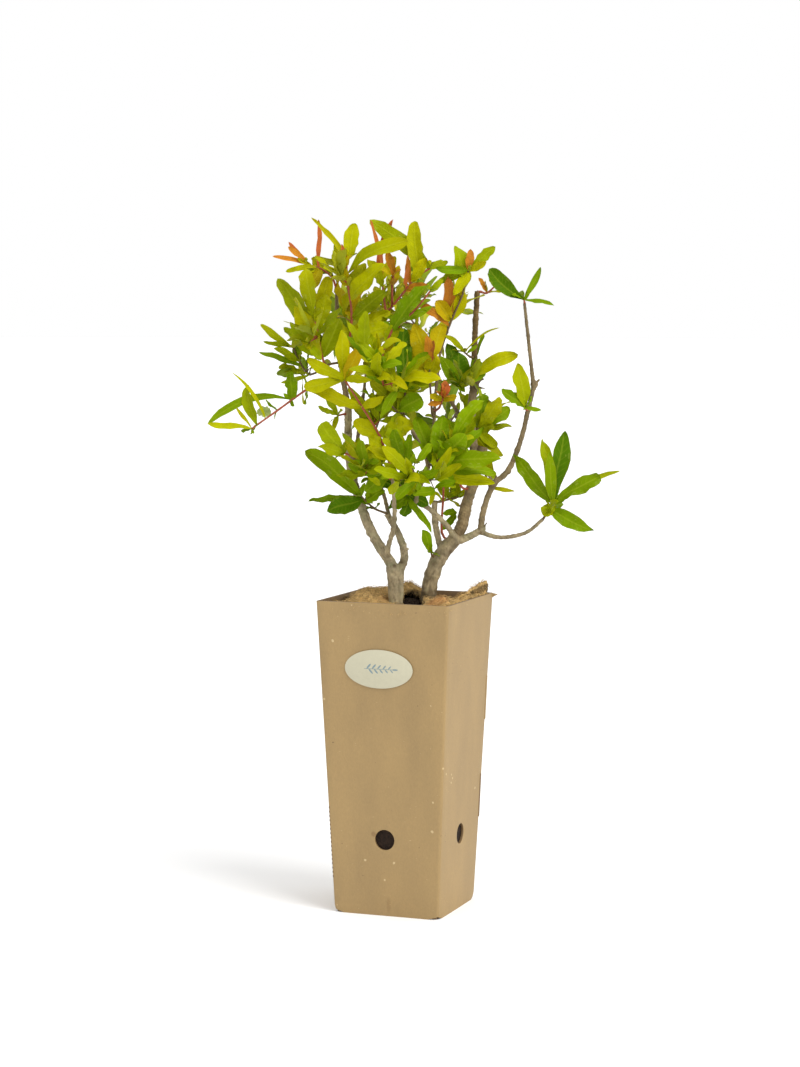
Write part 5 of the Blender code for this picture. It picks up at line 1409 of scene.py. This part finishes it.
def sawn_ends(settings):
    """Flat, slightly dished discs of bare wood on the cut limbs."""
    pile = Pile()
    rings, sides = (0.0, 0.3, 0.6, 0.85, 1.0), 20
    for name in SAWN:
        path, radii = limb_run(LIMBS[name])
        along = (path[-1] - path[-2]).normalized()
        across = along.orthogonal().normalized()
        other = along.cross(across)
        points, marks = [], []
        for lift in SAWN_LEVELS:
            for ring in rings:
                for side in range(sides):
                    angle = math.tau * side / sides
                    out = (across * math.cos(angle) + other * math.sin(angle)) * ring * radii[-1] * 0.94
                    dish = SAWN_DISH * ring if lift > 0 else 0
                    points.append(tuple(path[-1] + out + along * (lift + dish)))
                    marks.append(ring)
        faces = []
        for level in range(len(rings) * 2 - 1):
            for side in range(sides):
                beside = (side + 1) % sides
                low, high = level * sides, (level + 1) * sides
                if level == len(rings) - 1:
                    low, high = (len(rings) - 1) * sides, (2 * len(rings) - 1) * sides
                    faces.append((low + beside, low + side, high + side, high + beside))
                elif level < len(rings):
                    faces.append((low + side, high + side, high + beside, low + beside))
                else:
                    faces.append((low + beside, high + beside, high + side, low + side))
        pile.add(np.array(points), faces, ring=np.array(marks))
    ends = pile.make("sawn_ends", sawn_wood("sawn wood", settings.sawn))
    bm = bmesh.new()
    bm.from_mesh(ends.data)
    bmesh.ops.remove_doubles(bm, verts=bm.verts, dist=1e-6)
    bmesh.ops.recalc_face_normals(bm, faces=bm.faces)
    bm.to_mesh(ends.data)
    bm.free()
    smoothed(ends.data, 50)
    return ends


# Leaves
def leaf_faces():
    """Faces of a leaf: two skins that share their rim, closed to a point at foot and tip."""
    top = {}
    count = 1
    for row in range(1, LEAF_ROWS):
        for column in range(LEAF_COLUMNS + 1):
            top[row, column] = count
            count += 1
    under = dict(top)
    for row in range(1, LEAF_ROWS):
        for column in range(1, LEAF_COLUMNS):
            under[row, column] = count
            count += 1
    foot, tip = 0, count
    faces = []
    for column in range(LEAF_COLUMNS):
        beside = column + 1
        faces.append((foot, top[1, column], top[1, beside]))
        faces.append((foot, under[1, beside], under[1, column]))
        faces.append((top[LEAF_ROWS - 1, column], tip, top[LEAF_ROWS - 1, beside]))
        faces.append((under[LEAF_ROWS - 1, beside], tip, under[LEAF_ROWS - 1, column]))
        for row in range(1, LEAF_ROWS - 1):
            faces.append((top[row, column], top[row + 1, column], top[row + 1, beside], top[row, beside]))
            faces.append((under[row, beside], under[row + 1, beside], under[row + 1, column],
                          under[row, column]))
    return faces


LEAF_FACES = leaf_faces()


def leaf_form(blade, rng):
    """The shape that one leaf takes: where it is widest, its fold, waves, twist and curl."""
    long_leaf = blade.length > 40
    return {
        "foot": rng.uniform(0.52, 1.08),
        "end": rng.uniform(0.46, 0.74) if rng.random() < 0.72 else rng.uniform(0.74, 1.0),
        "fold": rng.uniform(0.0, 0.5),
        "wave": rng.uniform(0.07, 0.2) * (1.2 if long_leaf else 1),
        "waves": rng.uniform(1.2, 3.4),
        "scallop": rng.uniform(0.02, 0.12),
        "phases": (rng.uniform(0, math.tau), rng.uniform(0, math.tau)),
        "twist": rng.uniform(-0.55, 0.55),
        "curl": rng.uniform(-0.03, 0.09),
        "sway": rng.uniform(-0.035, 0.035),
        "snake": rng.uniform(-0.025, 0.025),
        "tone": rng.uniform(0.89, 1.1),
        "warm": rng.uniform(0.0, 1.0) ** 1.5,
    }


def leaf_points(blade, form):
    """Points of a leaf, its map and which of them lie on the underside, in leaf_faces' order."""
    along = blade.along.normalized()
    side = along.cross(blade.facing).normalized()
    up = side.cross(along)
    base = np.array(blade.base - along * ROOT_SINK)
    along, side, up = np.array(along), np.array(side), np.array(up)
    steps = np.linspace(0, 1, LEAF_ROWS + 1)
    rows = (0.25 * steps + 0.75 * (0.5 - 0.5 * np.cos(math.pi * steps)))[:, None]
    columns = np.linspace(-1, 1, LEAF_COLUMNS + 1)[None, :]
    peak = form["foot"] / (form["foot"] + form["end"])
    most = peak ** form["foot"] * (1 - peak) ** form["end"]
    half = blade.width / 2 * 1.1 * rows ** form["foot"] * (1 - rows) ** form["end"] / most
    stalk = np.minimum(0.42, rows * 60) * (rows < 0.3)
    half = np.maximum(half, stalk)
    phase = np.where(columns < 0, *form["phases"])
    half = half * (1 + form["scallop"] * np.sin(math.tau * form["waves"] * 1.3 * rows + phase + 1))
    wave = form["wave"] * blade.width * np.abs(columns) ** 1.5 * np.sin(
        math.tau * form["waves"] * rows + phase) * np.minimum(1, rows * 4)
    across = columns * half
    bow = (blade.arch + form["sway"]) * blade.length * 4 * rows * (1 - rows)
    bow = bow + form["snake"] * blade.length * np.sin(math.tau * rows)
    rise = form["fold"] * np.abs(columns) * half + wave
    rise = rise + form["curl"] * blade.length * 4 * rows * (1 - rows)
    turn = form["twist"] * (rows - 0.35)
    flat = (across * np.cos(turn) - rise * np.sin(turn))[..., None] * side
    lifted = (across * np.sin(turn) + rise * np.cos(turn))[..., None] * up
    top = base + (rows * blade.length)[..., None] * along + flat + lifted + bow[..., None] * side
    top[..., 2] -= blade.droop * blade.length * rows ** 2
    thick = LEAF_THICK * (1 - columns ** 2 * 0.7) * np.minimum(1, 8 * (1 - rows) + 0.2)
    low = top - thick[..., None] * up
    inner = slice(1, LEAF_ROWS)
    points = np.concatenate((top[:1, 0], top[inner].reshape(-1, 3), low[inner, 1:-1].reshape(-1, 3),
                             top[-1:, 0]))
    u = np.broadcast_to((columns + 1) / 2, top.shape[:2])
    v = np.broadcast_to(rows, top.shape[:2])
    uv = np.stack((u, v), axis=-1)
    maps = np.concatenate(([[0.5, 0]], uv[inner].reshape(-1, 2), uv[inner, 1:-1].reshape(-1, 2),
                           [[0.5, 1]]))
    tops = 1 + (LEAF_ROWS - 1) * (LEAF_COLUMNS + 1)
    under = np.zeros(len(points))
    under[tops:-1] = 1
    return points, maps, under


def direction(bearing, away):
    """Unit direction from a bearing in the u-z plane and a tilt away from the front."""
    bearing, away = math.radians(bearing), math.radians(away)
    return Vector((math.cos(bearing) * math.cos(away), math.sin(away),
                   math.sin(bearing) * math.cos(away)))


def outward(point, rng, lift):
    """A facing that turns a leaf's upper side away from the crown's core, and up."""
    out = (point - CROWN_CORE) / 90
    return Vector((out.x + rng.uniform(-0.5, 0.5), out.y + rng.uniform(-0.5, 0.5),
                   max(0, out.z) * 0.5 + lift))


def own_blades(shoot, rng, tints):
    """The leaves that a shoot names, facing the front."""
    for leaf in shoot.leaves:
        base, _ = point_at(shoot.stem, leaf.at)
        facing = Vector((rng.uniform(-0.6, 0.6), -1, rng.uniform(0.1, 0.5)))
        yield Blade(base, direction(leaf.bearing, leaf.away), facing, leaf.length, leaf.width * 1.05,
                    leaf.arch, leaf.tint or tints.choice(shoot.tints.split()), 0.0)


def sprig_run(shoot, number, rng):
    """Start and end of one side twig: they turn round the stem by the golden angle."""
    at = (number + 0.6) / shoot.sprigs * (len(shoot.stem) - 1)
    if shoot.leaves:
        at *= 0.7
    base, along = point_at(shoot.stem, at)
    out = Vector((0, 1, 0)) if abs(along.y) < 0.7 else Vector((1, 0, 0))
    out = (out - along * out.dot(along)).normalized()
    out = turned(out, along, number * GOLDEN_ANGLE + rng.uniform(-0.3, 0.3))
    lean = math.radians(SPRIG_LEAN)
    way = along * math.cos(lean) + out * math.sin(lean)
    if shoot.spread < 0.6:
        way.x *= shoot.spread
        way.z *= shoot.spread
    return base, base + way.normalized() * shoot.reach * rng.uniform(0.75, 1.0)


def sprig_blades(shoot, start, end, rng, tints):
    """Three leaves at a sprig's tip and a pair halfway, facing up and out."""
    along = (end - start).normalized()
    side = along.cross(Vector((0.2, 0.1, 1))).normalized()
    turn = rng.uniform(0, math.tau)
    for number in range(5):
        share = 1.0 if number < 3 else 0.5
        step = math.tau / 3 if number < 3 else math.pi
        around = turned(side, along, turn + number * step)
        lean = rng.uniform(0.45, 0.8) if number < 3 else rng.uniform(0.9, 1.3)
        way = along + around * lean + Vector((0, 0, 0.85))
        length = rng.uniform(*LEAF_LENGTHS)
        base = start.lerp(end, share)
        facing = outward(base, rng, 0.45)
        width = length * LEAF_SHAPE * rng.uniform(0.85, 1.15)
        yield Blade(base, way, facing, length, width, 0.0, tints.choice(shoot.tints.split()), 0.06)


def spur_blades(shoot, base, along, rng, count, lengths):
    """A few small leaves in a whorl on a short spur."""
    side = along.orthogonal().normalized()
    turn = rng.uniform(0, math.tau)
    for number in range(count):
        around = turned(side, along, turn + number * GOLDEN_ANGLE)
        way = along * 0.5 + around + Vector((0, 0, 0.35))
        length = rng.uniform(*lengths)
        facing = outward(base, rng, 0.5)
        yield Blade(base, way, facing, length, length * rng.uniform(0.24, 0.36), 0.0,
                    rng.choice(shoot.tints.split()), 0.04)


class Crown:
    """Everything that grows on the limbs, gathered by kind before it is made."""

    def __init__(self):
        self.leaves = {}
        self.twigs = {"red": Pile(), "brown": Pile()}
        self.shape = random.Random(9)

    def leaf(self, blade):
        form = leaf_form(blade, self.shape)
        points, maps, under = leaf_points(blade, form)
        pile = self.leaves.setdefault(blade.tint, Pile())
        pile.add(points, LEAF_FACES, maps, under=under, tone=form["tone"], warm=form["warm"])

    def twig(self, path, root, tip, bark, steps=3):
        path = smooth_path(path, steps)
        radii = taper(len(path), root, tip)
        swell = [1.18 if index % steps == 0 else 1.0 for index in range(len(path))]
        radii = [radius * more for radius, more in zip(radii, swell)]
        self.twigs[bark].add(*sweep(path, radii, 7))


def grow_sprig(crown, shoot, start, end, rng, tints):
    """A sprig with its leaves, and the finer twigs that it carries within the same reach."""
    middle = start.lerp(end, 0.5) + Vector([tints.uniform(-1, 1) for _ in range(3)])
    crown.twig((start, middle, end), SPRIG_RADIUS, SPRIG_RADIUS * 0.7, shoot.bark, 2)
    for blade in sprig_blades(shoot, start, end, rng, tints):
        crown.leaf(blade)
    along = (end - start).normalized()
    side = along.orthogonal().normalized()
    for number in range(2):
        around = turned(side, along, tints.uniform(0, math.tau))
        base = start.lerp(end, 0.35 + 0.35 * number)
        tip = base + (along * 0.6 + around).normalized() * shoot.reach * 0.4
        crown.twig((base, tip), SPRIG_RADIUS * 0.7, SPRIG_RADIUS * 0.5, shoot.bark, 2)
        for blade in spur_blades(shoot, tip, (tip - base).normalized(), tints, 3, (14, 26)):
            crown.leaf(blade)


def grow_shoot(crown, shoot, number):
    """A shoot's stem, its own leaves, its sprigs and the small leaves at its nodes."""
    rng, tints = random.Random(100 + number), random.Random(500 + number)
    stem = shoot.stem
    if shoot.bough:
        stem = (nearest_on(limb_run(LIMBS[shoot.bough], 2)[0], stem[0]), *stem)
    crown.twig(stem, TWIG_RADIUS + 0.25, TWIG_RADIUS - 0.15, shoot.bark)
    for blade in own_blades(shoot, rng, tints):
        crown.leaf(blade)
    for sprig in range(shoot.sprigs):
        start, end = sprig_run(shoot, sprig, rng)
        grow_sprig(crown, shoot, start, end, rng, tints)
    for at in range(1, len(shoot.stem)):
        base, along = point_at(shoot.stem, at)
        for blade in spur_blades(shoot, base, along, tints, 2, (7, 15)):
            crown.leaf(blade)


# Stage
def make_camera(settings):
    """The photograph's view, from a fit to the planter's corners."""
    azimuth, elevation = settings.azimuth, settings.elevation
    back = Vector((math.sin(azimuth) * math.cos(elevation), -math.cos(azimuth) * math.cos(elevation),
                   math.sin(elevation)))
    right = Vector((math.cos(azimuth), math.sin(azimuth), 0))
    target = right * CAMERA_ASIDE + Vector((0, 0, CAMERA_HEIGHT))
    data = bpy.data.cameras.new("camera")
    data.lens = settings.lens
    data.sensor_width = 36
    camera = bpy.data.objects.new("camera", data)
    bpy.context.scene.collection.objects.link(camera)
    turned = Matrix((right, back.cross(right), back)).transposed() @ Matrix.Rotation(CAMERA_ROLL, 3, "Z")
    camera.matrix_world = Matrix.Translation(target + back * settings.distance) @ turned.to_4x4()
    bpy.context.scene.camera = camera


def soft_light(name, place, strength):
    """A broad, distant light that shines from a place towards the planter."""
    data = bpy.data.lights.new(name, "SUN")
    data.angle = math.radians(30)
    data.energy = strength
    light = bpy.data.objects.new(name, data)
    bpy.context.scene.collection.objects.link(light)
    light.rotation_mode = "QUATERNION"
    light.rotation_quaternion = (-Vector(place)).to_track_quat("-Z", "Y")
    light.location = place


def make_floor():
    bm = bmesh.new()
    bmesh.ops.create_circle(bm, cap_ends=True, segments=96, radius=FLOOR_RADIUS)
    made, _, shader = new_material("pale floor", 0.9, 0.1)
    shader.inputs["Base Color"].default_value = (0.92, 0.92, 0.92, 1)
    floor = from_bmesh("floor", bm, made)


# Operators
class POMEGRANATE_OT_planter(bpy.types.Operator):
    """Build the card sleeve, its tabs, seam and perforation"""

    bl_idname = "pomegranate.planter"
    bl_label = "Card planter"

    def execute(self, context):
        settings = context.scene.pomegranate_planter
        finish_piece(card_sleeve(settings), "kraft_card", "planter_sleeve")
        for piece in (lock_tabs(settings), seam_lap(settings), corner_nicks()):
            finish_piece(piece, "kraft_card")
        inside = bpy.data.materials["kraft card inside"]
        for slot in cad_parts["planter_bottom"].material_slots:
            slot.material = inside
        return {"FINISHED"}


class POMEGRANATE_OT_label(bpy.types.Operator):
    """Build the oval label with a plain printed sprig"""

    bl_idname = "pomegranate.label"
    bl_label = "Label"

    def execute(self, context):
        settings = context.scene.pomegranate_planter
        finish_piece(oval_label(settings), "label_paper", "label")
        finish_piece(label_sprig(settings), "label_paper")
        return {"FINISHED"}


class POMEGRANATE_OT_filling(bpy.types.Operator):
    """Build the soil and the fibre mat that lies on it"""

    bl_idname = "pomegranate.filling"
    bl_label = "Soil and fibre mat"

    def execute(self, context):
        settings = context.scene.pomegranate_planter
        felt = coir_fibre("coir", settings.coir)
        # Coir at 0.3 of its colour, painted shade for the flap's overhanging side.
        dark = coir_fibre("torn coir", [share * 0.3 for share in settings.coir])
        loose = coir_fibre("loose coir", srgb(214, 180, 122))
        soil = mottled("soil", settings.soil, "earth")
        mat, flap, heap = coir_mat(felt), torn_flap(dark, felt), soil_heap(soil)
        finish_piece(loose_fibres("coir_fibres", settings.fibres, mat, loose), "coir")
        finish_piece(loose_fibres("flap_fibres", settings.fibres // 30, flap, felt), "coir")
        finish_piece(mat, "coir", "fibre_mat")
        finish_piece(flap, "coir")
        finish_piece(soil_crumbs(settings, heap), "soil")
        finish_piece(heap, "soil")
        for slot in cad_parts["root_ball"].material_slots:
            slot.material = soil
        return {"FINISHED"}


class POMEGRANATE_OT_limbs(bpy.types.Operator):
    """Build the two stems with their boughs, bark and sawn ends"""

    bl_idname = "pomegranate.limbs"
    bl_label = "Stems and boughs"

    def execute(self, context):
        settings = context.scene.pomegranate_crown
        material = bark("bark", settings.old_bark, settings.young_bark)
        left = [spur for spur in SPURS if spur[0][0] < 5]
        right = [spur for spur in SPURS if spur[0][0] >= 5]
        for name, limbs, spurs in (("left_stem", LEFT_STEM, left), ("right_stem", RIGHT_STEM, right)):
            nodes = [limb.name for limb in limbs if limb.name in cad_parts]
            finish_piece(stem_skin(name, limbs, spurs, material), "bark_old", *nodes)
        finish_piece(sawn_ends(settings), "bark_old")
        return {"FINISHED"}


class POMEGRANATE_OT_foliage(bpy.types.Operator):
    """Grow the twigs and leaves from the boughs"""

    bl_idname = "pomegranate.foliage"
    bl_label = "Twigs and leaves"

    def execute(self, context):
        settings = context.scene.pomegranate_crown
        crown = Crown()
        for number, shoot in enumerate((*SHOOTS, *EXTRAS)):
            grow_shoot(crown, shoot, number)
        masses = ["leaves_" + shoot.name for shoot in SHOOTS]
        slots = {"deep": "leaf_deep", "gold": "leaf_yellow", "lime": "leaf_yellow",
                 "amber": "leaf_orange", "red": "leaf_orange"}
        for tint in sorted(crown.leaves):
            vein = srgb(206, 150, 96) if tint in ("red", "amber") else srgb(196, 200, 60)
            look = leaf_surface(tint + " leaf", getattr(settings, tint), vein, BLUSH[tint])
            leaves = crown.leaves[tint].make("leaves_" + tint, look)
            finish_piece(leaves, slots.get(tint, "leaf_green"), *masses)
            masses = []
        for bark_name, colour in (("red", settings.red_bark), ("brown", settings.young_bark)):
            look = mottled(bark_name + " twig", colour, "twig")
            finish_piece(crown.twigs[bark_name].make("twigs_" + bark_name, look), "bark_young")
        return {"FINISHED"}


class POMEGRANATE_OT_stage(bpy.types.Operator):
    """Set the camera, the pale floor and the soft light"""

    bl_idname = "pomegranate.stage"
    bl_label = "Stage"

    def execute(self, context):
        settings = context.scene.pomegranate_stage
        make_camera(settings)
        make_floor()
        world = bpy.data.worlds.new("studio")
        world.use_nodes = True
        sky = world.node_tree.nodes["Background"].inputs
        sky["Color"].default_value = (1, 1, 1, 1)
        sky["Strength"].default_value = settings.sky
        context.scene.world = world
        soft_light("key", KEY_PLACE, settings.key)
        context.scene.view_settings.view_transform = "Standard"
        return {"FINISHED"}


class POMEGRANATE_PT_panel(bpy.types.Panel):
    """The builder's steps in the 3D view's sidebar"""

    bl_label = "Pomegranate"
    bl_space_type = "VIEW_3D"
    bl_region_type = "UI"
    bl_category = "Pomegranate"

    def draw(self, context):
        for group in ("pomegranate_planter", "pomegranate_crown", "pomegranate_stage"):
            settings = getattr(context.scene, group)
            for name in settings.__annotations__:
                self.layout.prop(settings, name)
        for operator in OPERATORS:
            self.layout.operator(operator.bl_idname)


SETTINGS = {"pomegranate_planter": PlanterSettings, "pomegranate_crown": CrownSettings,
            "pomegranate_stage": StageSettings}
OPERATORS = (POMEGRANATE_OT_planter, POMEGRANATE_OT_label, POMEGRANATE_OT_filling,
             POMEGRANATE_OT_limbs, POMEGRANATE_OT_foliage, POMEGRANATE_OT_stage)


def register():
    for name, group in SETTINGS.items():
        bpy.utils.register_class(group)
        setattr(bpy.types.Scene, name, bpy.props.PointerProperty(type=group))
    for made in (*OPERATORS, POMEGRANATE_PT_panel):
        bpy.utils.register_class(made)


def unregister():
    for made in (POMEGRANATE_PT_panel, *reversed(OPERATORS)):
        bpy.utils.unregister_class(made)
    for name, group in SETTINGS.items():
        delattr(bpy.types.Scene, name)
        bpy.utils.unregister_class(group)


def main():
    register()
    mottle_group()
    fleck_group()
    vein_group()
    bpy.ops.pomegranate.planter()
    bpy.ops.pomegranate.label()
    bpy.ops.pomegranate.filling()
    bpy.ops.pomegranate.limbs()
    bpy.ops.pomegranate.foliage()
    bpy.ops.pomegranate.stage()


if __name__ == "__main__":
    main()
